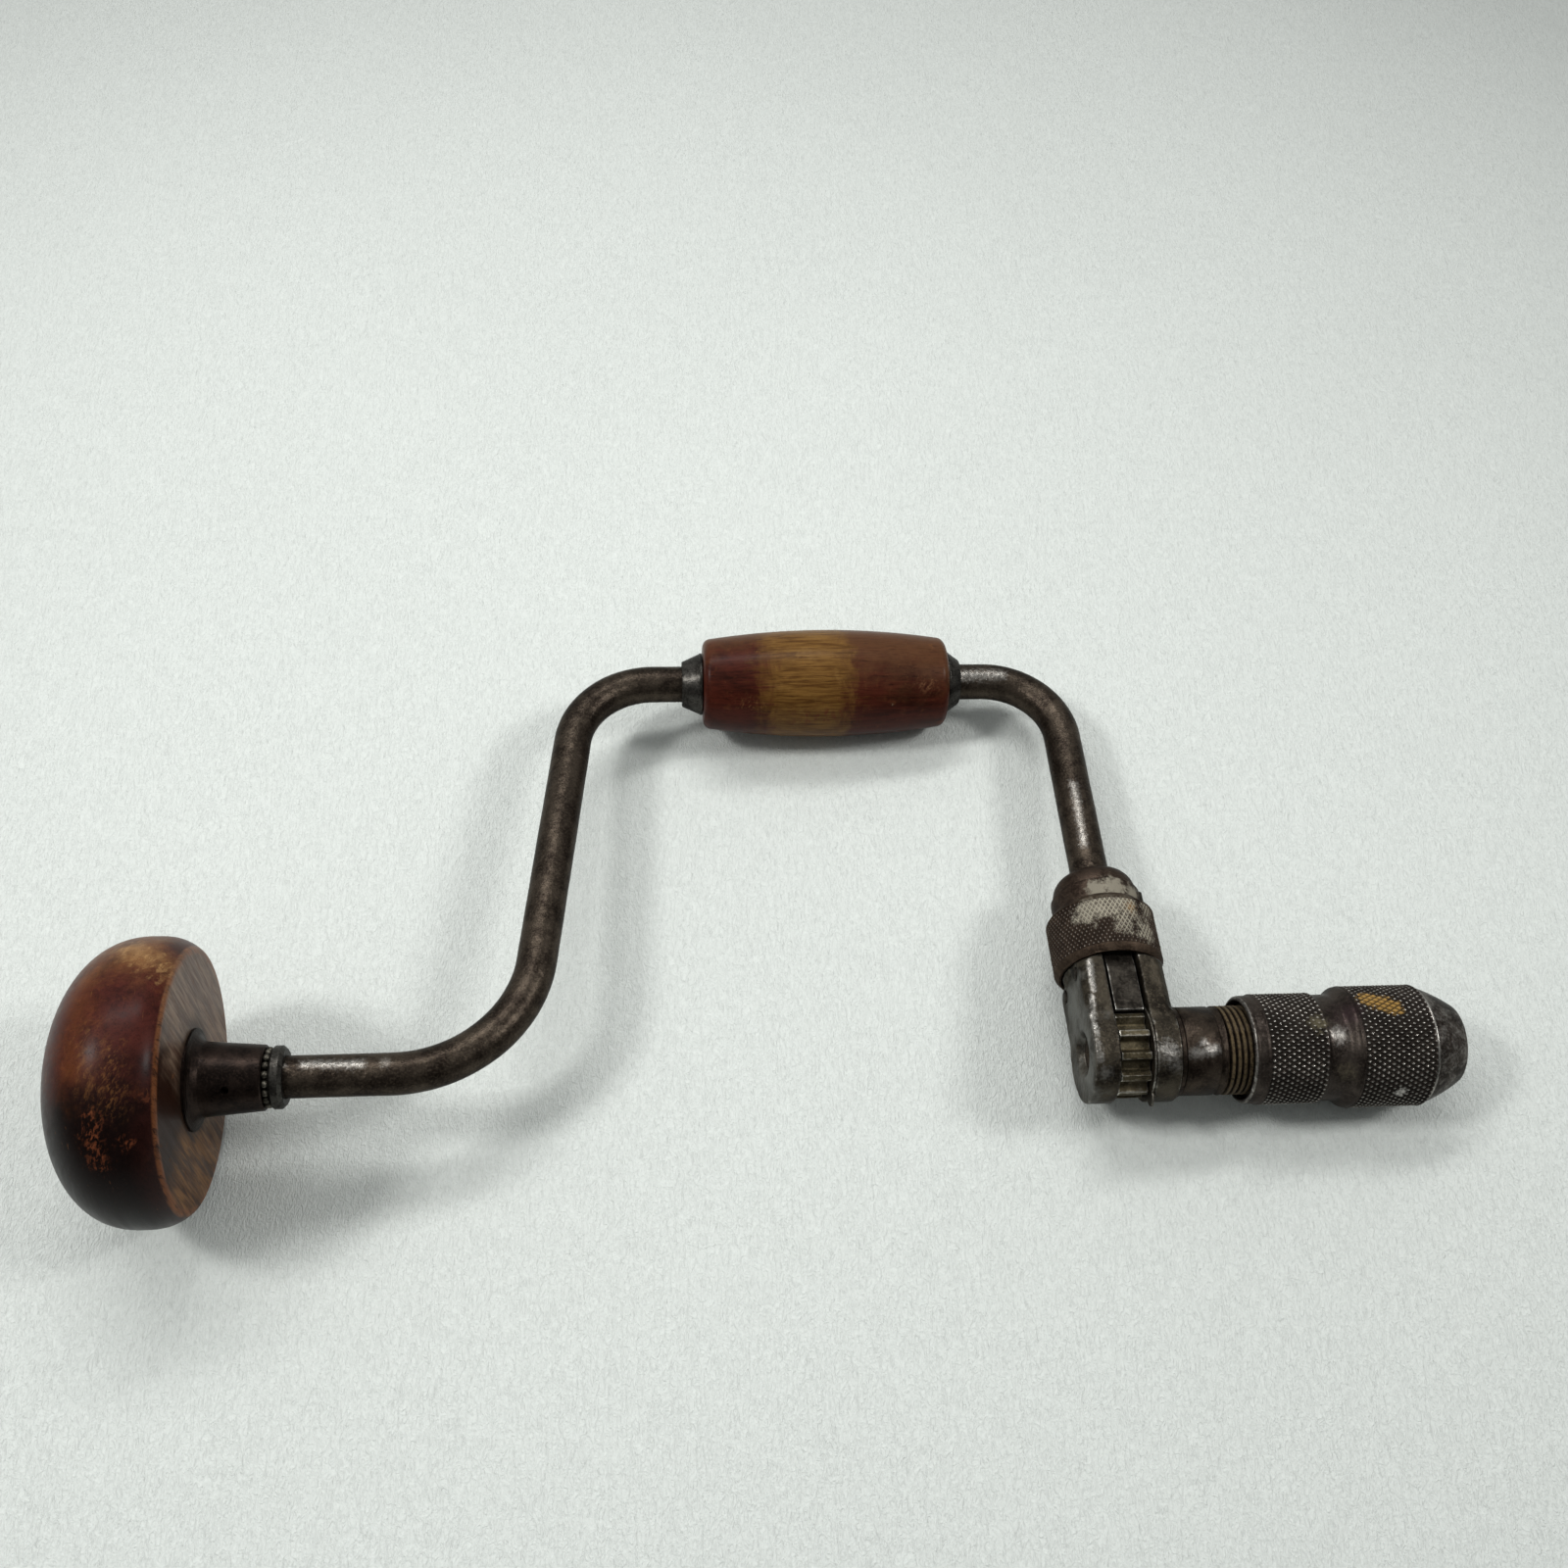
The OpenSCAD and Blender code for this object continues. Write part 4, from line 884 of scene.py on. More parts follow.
def edge_marks(points: np.ndarray, edges: np.ndarray, normals: np.ndarray, gain: float,
               passes: int) -> dict[Mark, np.ndarray]:
    """Finds the proud edges and the hollows of a mesh.

    Args:
        points: The mesh's points.
        edges: Pairs of points that are joined.
        normals: The points' normals.
        gain: What the curvature is multiplied by.
        passes: How often it is spread to the neighbours.

    Returns:
        Marks from 0 to 1 for the proud places and for the hollows.
    """
    count = np.bincount(edges.reshape(-1), minlength=len(points))[:, None]
    lengths = np.linalg.norm(points[edges[:, 0]] - points[edges[:, 1]], axis=1)

    def gather(values: np.ndarray) -> np.ndarray:
        """Averages the neighbours' values.

        Args:
            values: A row of numbers for each point.

        Returns:
            The averages.
        """
        total = np.zeros_like(values)
        np.add.at(total, edges[:, 0], values[edges[:, 1]])
        np.add.at(total, edges[:, 1], values[edges[:, 0]])
        return total / np.maximum(count, 1)

    bend = -np.einsum("ij,ij->i", gather(points) - points, normals)
    bend = bend[:, None] / max(float(lengths.mean()), 1e-9)
    for _ in range(passes):
        bend = OWN_SHARE * bend + (1 - OWN_SHARE) * gather(bend)
    bend = bend[:, 0] * gain
    return {Mark.WEAR: np.clip(bend, 0, 1), Mark.GRIME: np.clip(-bend, 0, 1)}


@dataclass(frozen=True)
class Worn:
    """How a sharp solid is softened into a worn forging. Lengths are in mm.

    Voxel is the size of its new grid, smooth how often it is smoothed, lump the height of its
    waves, and gain and passes are those of its edge marks.
    """

    voxel: float
    smooth: int
    lump: float
    gain: float
    passes: int


# Points closer than this, in mm, are one, and each smoothing moves a point by this share.
WELD, SMOOTHING = 0.0005, 0.5
# The waves of a forging's surface: their direction and frequency per mm, and their phase.
LUMP_WAVES = (((0.9, 0.7, -0.5), 0.3), ((-0.6, 1.3, 0.8), 1.9), ((1.7, -0.4, 1.1), 4.1),
              ((0.3, 2.1, -1.6), 2.2))


def welded(mesh: bpy.types.Mesh) -> bmesh.types.BMesh:
    """Opens a mesh for editing, with its double points welded.

    Args:
        mesh: The mesh, which stays as it is.

    Returns:
        The copy to edit.
    """
    work = bmesh.new()
    work.from_mesh(mesh)
    bmesh.ops.remove_doubles(work, verts=work.verts, dist=WELD)
    return work


def read_points(mesh: bpy.types.Mesh) -> tuple[np.ndarray, np.ndarray, np.ndarray]:
    """Reads a mesh's points.

    Args:
        mesh: The mesh.

    Returns:
        Its points, their normals, and its edges as pairs of points.
    """
    count = len(mesh.vertices)
    points = np.empty(count * 3)
    mesh.vertices.foreach_get("co", points)
    normals = np.empty(count * 3, np.float32)
    mesh.vertex_normals.foreach_get("vector", normals)
    edges = np.empty(len(mesh.edges) * 2, np.int64)
    mesh.edges.foreach_get("vertices", edges)
    return points.reshape(-1, 3), normals.reshape(-1, 3), edges.reshape(-1, 2)


def worn_copy(name: str, node: str, worn: Worn) -> bpy.types.Object:
    """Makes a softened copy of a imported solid.

    Args:
        name: The copy's name.
        node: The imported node.
        worn: How it is softened.

    Returns:
        The copy, with its edge and hollow marks.
    """
    mesh = frame["nodes"][node].data.copy()
    mesh.name = name
    mesh.transform(STAND_UP)
    made = placed(name, mesh)
    work = welded(mesh)
    work.to_mesh(mesh)
    work.free()
    remesh = made.modifiers.new("remesh", "REMESH")
    remesh.mode = "VOXEL"
    remesh.voxel_size = worn.voxel
    remesh.adaptivity = 0.0
    soft = made.modifiers.new("soft", "SMOOTH")
    soft.factor = SMOOTHING
    soft.iterations = worn.smooth
    deps = bpy.context.evaluated_depsgraph_get()
    softened = bpy.data.meshes.new_from_object(made.evaluated_get(deps))
    made.modifiers.clear()
    made.data = softened
    softened.name = name
    points, normals, edges = read_points(softened)
    wave = sum(np.sin(points @ np.array(k) + phase) for k, phase in LUMP_WAVES) / len(LUMP_WAVES)
    points = points + normals * (worn.lump * wave)[:, None]
    softened.vertices.foreach_set("co", points.reshape(-1))
    write_marks(softened, edge_marks(points, edges, normals, worn.gain, worn.passes))
    softened.transform(LAY_DOWN)
    softened.materials.clear()
    softened.shade_smooth()
    softened.update()
    LOG.info("%s: softened copy of %s with %d points", name, node, len(points))
    return made


def dress(piece: bpy.types.Object, material: bpy.types.Material) -> bpy.types.Object:
    """Gives a piece its one material.

    Args:
        piece: The piece.
        material: Its material.

    Returns:
        The piece.
    """
    piece.data.materials.clear()
    piece.data.materials.append(material)
    return piece


def dress_node(node: str, material: bpy.types.Material) -> None:
    """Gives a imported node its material, in the slots that it has.

    Args:
        node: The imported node.
        material: Its material.
    """
    piece = frame["nodes"][node]
    if not piece.material_slots:
        piece.data.materials.append(material)
    for slot in piece.material_slots:
        slot.material = material
    LOG.info("%s: packed solid dressed", node)


def seat(piece: bpy.types.Object, body: str, slot: str, *nodes: str) -> bpy.types.Object:
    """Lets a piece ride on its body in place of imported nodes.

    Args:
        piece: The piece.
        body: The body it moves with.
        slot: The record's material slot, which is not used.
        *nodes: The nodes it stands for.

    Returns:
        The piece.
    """
    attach(piece, body)
    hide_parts(*nodes)
    LOG.info("%s: rides on %s", piece.name, body)
    return piece


# ---- finishes ------------------------------------------------------------------------

PAINT_GREY: Colour = (0.26, 0.235, 0.185)
PAINT_PALE: Colour = (0.37, 0.34, 0.27)
OCHRE: Colour = (0.24, 0.13, 0.04)
YELLOW: Colour = (0.37, 0.215, 0.055)
SILVER: Colour = (0.46, 0.44, 0.41)


def paint(x: float, y: float, z: float, radius: float, strength: float = 0.95,
          hollows: float = 0.86) -> Spot:
    """Gives a blot of old grey paint, which stays longest in the grooves of a knurl."""
    return Spot((x, y, z), radius, PAINT_PALE, strength, 0.45, 0.0, 0.8, 0.25, hollows)


def residue(x: float, y: float, z: float, radius: float, strength: float = 0.9) -> Spot:
    """Gives a blot of grey residue on smooth steel."""
    return Spot((x, y, z), radius, PAINT_GREY, strength, 0.8, 0.0, 0.75, 0.30)


def wear_and_highlight(x: float, y: float, z: float, radius: float, strength: float = 0.7,
           end: Optional[tuple[float, float, float]] = None) -> Spot:
    """Gives a place, or a line, of bright steel: rubbed bright by wear, and along the fork's left strap a
    painted highlight.
    """
    return Spot((x, y, z), radius, SILVER, strength, 1.1, 1.0, 0.24, 0.75, end=end)


def yellow(x: float, y: float, z: float, radius: float,
           end: Optional[tuple[float, float, float]] = None) -> Spot:
    """Gives a dab of yellow paint on the tops of a knurl."""
    return Spot((x, y, z), radius, YELLOW, 0.95, 0.9, 0.0, 0.65, 0.2, -0.8, end)


def chipped(x: float, y: float, z: float, radius: float, colour: Colour, strength: float = 0.8,
            broken: float = 0.8, end: Optional[tuple[float, float, float]] = None) -> Spot:
    """Gives a place where the wood's stain is broken by small ragged chips."""
    return Spot((x, y, z), radius, colour, strength, 0.5, soft=0.7, end=end, broken=broken)


ROD_STEEL = SteelFinish(
    "rod_steel", dark=(0.017, 0.012, 0.009), mid=(0.062, 0.048, 0.036), bright=(0.36, 0.34, 0.31),
    wear=0.19, mottle=0.16, rough=(0.18, 0.33), pits=0.8, grime_amount=0.0, dent=0.20,
    spots=(wear_and_highlight(-212.0, 1.0, 5.3, 2.8, 0.7, (-198.0, 0.5, 5.4)), wear_and_highlight(-192.0, 1.0, 5.4, 3.0, 0.35),
           wear_and_highlight(-218.0, 0.5, 5.4, 3.0, 0.5), wear_and_highlight(-30.0, 125.5, 5.3, 4.0, 0.75, (-17.0, 125.5, 5.3)),
           wear_and_highlight(-1.0, 84.0, 5.3, 2.6, 0.6, (-1.5, 63.0, 5.1))))
FORK_STEEL = SteelFinish(
    "fork_steel", dark=(0.015, 0.012, 0.009), mid=(0.062, 0.052, 0.038), bright=(0.46, 0.44, 0.40),
    wear=0.20, mottle=0.13, rough=(0.20, 0.38), pits=0.5, grime=(0.085, 0.055, 0.022), grime_amount=0.9,
    dent=0.24, seed=3.0, spots=(
        Spot((-19.0, 15.0, 0.0), 19.0, (0.235, 0.232, 0.215), 0.75, 0.10, 0.75, 0.34, 0.35,
             end=(-19.0, -4.0, 0.0)),
        wear_and_highlight(7.6, -5.8, 11.6, 5.6, 0.85), wear_and_highlight(9.8, -8.5, 9.0, 3.4, 0.5),
        # Painted highlight: these three bright lines follow the left strap's ridge from the ring down to the
        # ear.
        wear_and_highlight(-8.7, 21.0, 12.0, 1.7, 1.0, (-9.1, 12.5, 12.4)),
        wear_and_highlight(-9.8, 10.5, 12.0, 1.6, 1.0, (-11.0, 2.0, 12.8)),
        wear_and_highlight(-11.0, 2.0, 12.8, 1.9, 1.0, (-10.3, -7.0, 11.0)), wear_and_highlight(-9.0, -9.8, 8.7, 3.6, 0.6)))
WHEEL_STEEL = SteelFinish(
    "wheel_steel", dark=(0.035, 0.028, 0.016), mid=(0.100, 0.082, 0.050), bright=(0.50, 0.48, 0.43),
    wear=0.30, rough=(0.24, 0.48), grime=(0.270, 0.185, 0.080), grime_amount=1.0, pits=0.2, seed=5.0)
PAWL_STEEL = SteelFinish(
    "pawl_steel", dark=(0.012, 0.010, 0.008), mid=(0.046, 0.040, 0.033), bright=(0.40, 0.39, 0.36),
    wear=0.20, mottle=0.4, rough=(0.24, 0.42), grime=(0.070, 0.045, 0.017), grime_amount=0.8, pits=0.5,
    dent=0.16, seed=7.0)
RING_STEEL = SteelFinish(
    "ring_steel", dark=(0.025, 0.016, 0.011), mid=(0.072, 0.050, 0.035), bright=(0.30, 0.27, 0.24),
    wear=0.06, rough=(0.30, 0.56), grime=(0.012, 0.008, 0.006), grime_amount=0.8, pits=0.0, seed=9.0,
    spots=(paint(-6.5, 36.1, 13.2, 6.4, 0.95, 0.6), paint(-1.5, 37.4, 14.6, 6.4),
           paint(3.5, 36.6, 14.3, 6.0), paint(8.6, 30.2, 12.2, 5.4, 0.9),
           paint(2.0, 31.0, 14.9, 5.0, 0.75, 0.95), paint(10.5, 37.5, 10.4, 3.6, 0.8),
           Spot((4.8, 36.6, 14.0), 3.6, OCHRE, 0.8, 0.7, 0.0, 0.8, 0.6, -0.6)))
CAP_STEEL = SteelFinish(
    "cap_steel", dark=(0.018, 0.011, 0.008), mid=(0.058, 0.040, 0.030), bright=(0.36, 0.34, 0.31),
    wear=0.17, rough=(0.22, 0.42), pits=0.4, grime=(0.045, 0.030, 0.018), grime_amount=0.5, dent=0.2,
    seed=11.0, spots=(residue(-2.4, 43.6, 12.1, 4.8, 0.9), residue(2.4, 44.4, 12.2, 5.6),
                      residue(8.0, 43.4, 9.4, 4.6, 0.8)))
SPINDLE_STEEL = SteelFinish(
    "spindle_steel", dark=(0.013, 0.009, 0.007), mid=(0.048, 0.036, 0.027), bright=(0.38, 0.36, 0.33),
    wear=0.15, rough=(0.17, 0.36), grime=(0.120, 0.086, 0.044), grime_amount=0.95, pits=0.5, dent=0.18,
    seed=13.0, spots=(
        wear_and_highlight(15.0, -5.6, 10.2, 3.0, 0.75, (20.4, -5.0, 10.6)), wear_and_highlight(17.5, -3.2, 11.2, 2.4, 0.5)))
SHELL_STEEL = SteelFinish(
    "shell_steel", dark=(0.016, 0.012, 0.010), mid=(0.056, 0.045, 0.038), bright=(0.44, 0.42, 0.39),
    wear=0.17, mottle=0.16, rough=(0.20, 0.40), grime=(0.010, 0.008, 0.006), grime_amount=0.95, pits=0.0,
    seed=17.0, spots=(
        yellow(63.2, 6.6, 14.6, 4.1, (68.6, 3.9, 15.5)), wear_and_highlight(52.8, -3.2, 13.6, 4.4, 0.75),
        Spot((56.4, 2.6, 15.0), 8.0, (0.050, 0.030, 0.034), 0.6, 0.5, 0.85, 0.30, 0.6),
        Spot((54.6, -11.0, 8.6), 5.0, (0.13, 0.11, 0.075), 0.6, 0.9, 0.2, 0.6, 0.6),
        Spot((48.0, 0.0, 14.4), 4.4, (0.15, 0.13, 0.08), 0.7, 0.8, 0.1, 0.65, 0.5),
        Spot((69.8, -15.5, 3.8), 2.6, (0.42, 0.41, 0.38), 0.9, 1.2, 0.2, 0.5, 0.3)))
BLUED_STEEL = SteelFinish(
    "blued_steel", dark=(0.018, 0.016, 0.014), mid=(0.062, 0.058, 0.052), bright=(0.50, 0.49, 0.46),
    wear=0.20, mottle=0.25, rough=(0.16, 0.32), pits=0.4, grime_amount=0.3, seed=19.0)
QUILL_STEEL = SteelFinish(
    "quill_steel", dark=(0.010, 0.007, 0.006), mid=(0.030, 0.020, 0.016), bright=(0.28, 0.26, 0.24),
    wear=0.12, mottle=0.2, rough=(0.24, 0.36), pits=0.25, grime_amount=0.3, seed=23.0)
BALL_STEEL = SteelFinish(
    "ball_steel", dark=(0.030, 0.026, 0.020), mid=(0.12, 0.11, 0.09), bright=(0.62, 0.60, 0.56),
    wear=0.26, mottle=0.45, rough=(0.14, 0.40), pits=0.3, grime_amount=0.2, seed=27.0)
BRIGHT_STEEL = SteelFinish(
    "bright_steel", dark=(0.10, 0.09, 0.08), mid=(0.20, 0.19, 0.17), bright=(0.55, 0.54, 0.51),
    wear=0.36, rough=(0.22, 0.36), pits=0.15, grime_amount=0.2, seed=29.0)

GOLD_PALE: Colour = (0.37, 0.215, 0.088)
GOLD_BROWN: Colour = (0.245, 0.105, 0.034)
ORANGE_BROWN: Colour = (0.185, 0.056, 0.015)
BARE_RED: Colour = (0.26, 0.075, 0.032)

HEAD_WOOD = WoodFinish(
    "head_wood", fibre=(0.06, 0.04, -1.0), dark=(0.022, 0.005, 0.004), mid=(0.064, 0.014, 0.010),
    light=(0.130, 0.036, 0.014), worn=(0.30, 0.12, 0.04), scratch=0.22, seed=2.0, spots=(
        Spot((-250.5, 18.0, 31.2), 21.0, GOLD_BROWN, 0.65, 0.12, soft=0.75),
        Spot((-251.0, 21.6, 29.2), 8.0, GOLD_PALE, 0.6, 0.35, soft=0.8, end=(-245.5, 16.6, 31.8)),
        chipped(-252.0, 22.0, 28.8, 10.0, GOLD_PALE, 0.95, 0.30, (-243.0, 14.6, 32.0)),
        Spot((-259.5, 8.0, 33.6), 13.0, ORANGE_BROWN, 0.5, 0.12, soft=0.8, end=(-258.5, -12.0, 33.0)),
        chipped(-255.0, -5.0, 34.6, 8.0, GOLD_BROWN, 0.5, 0.30, (-254.4, -16.0, 32.4)),
        chipped(-249.6, -10.0, 34.4, 8.0, GOLD_BROWN, 0.4, 0.95, (-249.0, -20.0, 30.4)),
        chipped(-253.4, -23.0, 27.6, 5.6, BARE_RED, 0.7, 0.70, (-252.6, -30.0, 20.0)),
        chipped(-246.0, -27.2, 23.8, 4.0, BARE_RED, 0.8, 0.8),
        chipped(-241.6, -18.0, 29.0, 5.0, BARE_RED, 0.3, 0.6)))
HANDLE_WOOD = WoodFinish(
    "handle_wood", fibre=(1, 0, 0), dark=(0.020, 0.005, 0.003), mid=(0.068, 0.014, 0.008),
    light=(0.115, 0.036, 0.014), worn=(0.28, 0.12, 0.035), scratch=0.18, seed=4.0, spots=(
        chipped(-43.0, 117.6, 11.2, 5.0, (0.21, 0.10, 0.05), 0.75, 0.6, (-39.6, 117.0, 10.8)),
        Spot((-51.6, 112.6, 7.0), 0.9, (0.34, 0.26, 0.17), 0.9, 1.0, soft=0.4, end=(-51.4, 111.2, 5.8)),
        chipped(-96.0, 112.6, 7.6, 5.0, (0.24, 0.12, 0.05), 0.7, 1.1, (-91.0, 112.2, 6.8)),
        chipped(-80.0, 110.6, 3.0, 7.0, (0.10, 0.020, 0.010), 0.8, 0.45, (-68.0, 111.5, 5.0))))


# The barrel's golden band: where its middle is, how far it reaches and how ragged its ends are.
BAND_MIDDLE, BAND_FULL, BAND_END = -77.0, 8.0, 17.0
BAND_RAGGED, BAND_STREAKY = 18.0, 22.0
BAND_EDGE_GRAIN = Grain(0.8, 5.0, 0.68, 0.5)
BAND_LINE_GRAIN = Grain(0.8, 4.0, 0.66, 0.3)
BAND_BLOTCH_GRAIN = Grain(0.16, 5.0, 0.7, 0.5)


def golden_middle(shader: Shader, colour: Socket) -> Socket:
    """Lays the rubbed, golden middle band on the sweep handle.

    Args:
        shader: The handle's shader.
        colour: The stained wood's colour.

    Returns:
        The colour with the band.
    """
    x, y, _ = shader.split(shader.place())
    ragged = shader.noise(shader.place(stretch=(0.30, 0.13, 0.13)), BAND_EDGE_GRAIN)
    thin = shader.noise(shader.place(stretch=(0.10, 1.5, 1.5)), BAND_LINE_GRAIN)
    mottled = shader.noise(shader.place(), BAND_BLOTCH_GRAIN)
    side = shader.times(shader.rise(x, -100.0, -60.0), 9.0)
    tilt = shader.plus(shader.plus(y, side), shader.times(mottled, 26.0))
    brown = shader.times(shader.rise(tilt, 134.0, 151.0), 0.85)
    colour = shader.mix(brown, colour, (0.098, 0.042, 0.018))
    middle = shader.maths("ABSOLUTE", shader.plus(x, -BAND_MIDDLE))
    reach = shader.plus(middle, shader.sway(ragged, BAND_RAGGED))
    reach = shader.plus(reach, shader.sway(thin, BAND_STREAKY))
    band = shader.times(shader.rise(reach, BAND_END, BAND_FULL), 0.92)
    tone = shader.mix(shader.rise(thin, 0.34, 0.64), (0.085, 0.036, 0.008), (0.200, 0.102, 0.026))
    pale = shader.times(shader.rise(mottled, 0.52, 0.70), 0.35)
    tone = shader.mix(pale, tone, (0.26, 0.145, 0.045))
    return shader.mix(band, colour, tone)


HEAD_CLOUD_GRAIN = Grain(0.07, 4.0, 0.6, 0.6)
FACE_STREAK_GRAIN = Grain(0.7, 5.0, 0.68, 0.5)
FACE_THREAD_GRAIN = Grain(1.1, 3.0, 0.6, 0.3)
# Where the head's face starts and is full, along the spindle axis, in mm.
FACE_FROM, FACE_FULL = -240.9, -240.3
# Where the shadow painted round the quill ends and is full, and where the face's rim starts and is full.
QUILL_SHADOW_END, QUILL_SHADOW_FULL = 17.5, 12.0
FACE_RIM_FROM, FACE_RIM_FULL = 31.2, 32.2
# The near black of the shade painted on the head's lower side.
SHADE_BLACK: Colour = (0.0045, 0.0026, 0.0024)


def raw_face(shader: Shader, lift: Socket, streak: Socket) -> Socket:
    """Colours the head's flat face: grey raw wood above, red and gold below, with a painted shadow round the
    quill.

    Args:
        shader: The head's shader.
        lift: How high a point is, swayed by noise, in mm.
        streak: The streaks along the fibre.

    Returns:
        The face's colour.
    """
    _, y, z = shader.split(shader.place())
    face = shader.mix(shader.rise(streak, 0.36, 0.64), (0.090, 0.050, 0.034), (0.220, 0.148, 0.104))
    along = shader.place(turned_to(HEAD_WOOD.fibre), (0.04, 1.0, 1.0), (9.0, 4.0, 2.0))
    threads = shader.times(shader.rise(shader.noise(along, FACE_THREAD_GRAIN), 0.52, 0.66), 0.7)
    face = shader.mix(threads, face, (0.085, 0.030, 0.017))
    gold = shader.rise(shader.plus(lift, shader.times(streak, 10.0)), 12.0, -8.0)
    low = shader.mix(shader.rise(streak, 0.38, 0.62), (0.036, 0.013, 0.006), (0.185, 0.084, 0.026))
    low = shader.mix(shader.rise(z, -2.0, 10.0), low, (0.020, 0.007, 0.004))
    face = shader.mix(gold, face, low)
    away = shader.maths("SQRT", shader.plus(shader.times(y, y), shader.times(z, z)))
    # Painted shadow of the quill: the face darkens round it.
    quill_shadow = shader.times(shader.rise(away, QUILL_SHADOW_END, QUILL_SHADOW_FULL), 0.75)
    face = shader.mix(quill_shadow, face, (0.016, 0.010, 0.007))
    rim = shader.times(shader.rise(away, FACE_RIM_FROM, FACE_RIM_FULL), shader.rise(streak, 0.35, 0.55))
    return shader.mix(shader.times(rim, 0.7), face, (0.200, 0.070, 0.026))


def head_shading_and_face(shader: Shader, colour: Socket) -> Socket:
    """Paints light and shade on the head, warmer and lighter towards its top and nearly black towards its
    lower side, and colours its face as raw wood.

    Args:
        shader: The head's shader.
        colour: The stained wood's colour.

    Returns:
        The shaded colour.
    """
    x, y, _ = shader.split(shader.place())
    cloud = shader.noise(shader.place(), HEAD_CLOUD_GRAIN)
    streak = shader.noise(shader.place(turned_to(HEAD_WOOD.fibre), FIBRE_STRETCH), FACE_STREAK_GRAIN)
    lift = shader.plus(y, shader.sway(cloud, 26.0))
    near_face = shader.between(shader.rise(x, -247.0, -241.0), 1.0, 0.72)
    # Painted shade: the dome darkens to near black towards its lower side, a little less next to the face.
    painted_shade = shader.times(shader.rise(lift, -4.0, -24.0), near_face)
    colour = shader.mix(shader.times(painted_shade, 0.95), colour, SHADE_BLACK)
    # Painted light: the top of the dome, away from the face, is made warmer and lighter.
    brown = shader.times(shader.rise(lift, 12.0, 30.0), shader.rise(x, -240.0, -250.0))
    colour = shader.mix(shader.times(brown, 0.6), colour, (0.170, 0.068, 0.024))
    return shader.mix(shader.rise(x, FACE_FROM, FACE_FULL), colour, raw_face(shader, lift, streak))


# ---- sub-assemblies ------------------------------------------------------------------


@dataclass
class HeadAssembly:
    """The wooden head, its quill and the thrust bearing. Sizes are in mm, angles in degrees.

    Side_tilt is how far the face's rounding has turned where the head's side runs into it, tip is
    the radius of the chamber's end, and face_rings are circles that keep the flat face's quads even.
    """

    reach: float = 239.9
    radius: float = 36.3
    height: float = 33.3
    rim_height: float = 10.1
    draw: float = 2.8
    edge: float = 1.6
    side_tilt: float = 42.0
    edge_from: float = 54.0
    fullness: float = 2.25
    bore: float = 9.02
    bore_depth: float = 16.0
    chamber: float = 8.5
    chamber_depth: float = 22.5
    tip: float = 0.4
    face_rings: tuple[float, ...] = (26.0, 20.0, 14.0)
    step: float = 2.5
    columns: int = 160

    def outline(self) -> np.ndarray:
        """Draws the head's outline, with its bore.

        Returns:
            The closed outline.
        """
        wide = -self.reach - self.rim_height
        power = 2 / self.fullness
        t = np.radians(np.linspace(1.0, 90, 60))
        dome = np.stack([wide - (self.height - self.rim_height) * np.cos(t) ** power,
                         self.radius * np.sin(t) ** power], 1)
        tilt = math.radians(self.side_tilt)
        side_height = self.rim_height - self.edge * (1 - math.sin(tilt))
        k = np.linspace(0, 1, 14)[1:]
        side = np.stack([wide + side_height * k, self.radius - self.draw * k ** 3], 1)
        turn = np.radians(np.linspace(self.edge_from, 90, 5))
        edge_radius = self.radius - self.draw - self.edge * math.cos(tilt)
        rim = np.stack([-self.reach - self.edge + self.edge * np.sin(turn),
                        edge_radius + self.edge * np.cos(turn)], 1)
        face = [(-self.reach, r) for r in (*self.face_rings, self.bore)]
        seat_at, end_at = -self.reach - self.bore_depth, -self.reach - self.chamber_depth
        inside = [(seat_at, self.bore), (seat_at, self.chamber), (end_at, self.chamber), (end_at, self.tip)]
        return np.concatenate([dome, side, rim, face, inside])

    def build(self) -> None:
        """Builds and dresses the head."""
        outline = densify(self.outline(), self.step)
        head = Surface.turned("head_wood_turned", outline, Axis.SPINDLE, self.columns).build(sharp=30)
        seat(dress(head, HEAD_WOOD.material(head_shading_and_face)), "head", "head_wood", "head_pad")
        for node, finish in (("head_quill", QUILL_STEEL), ("thrust_balls", BALL_STEEL),
                             ("journal_nut", BRIGHT_STEEL), ("thrust_collar", BLUED_STEEL)):
            dress_node(node, finish.material())


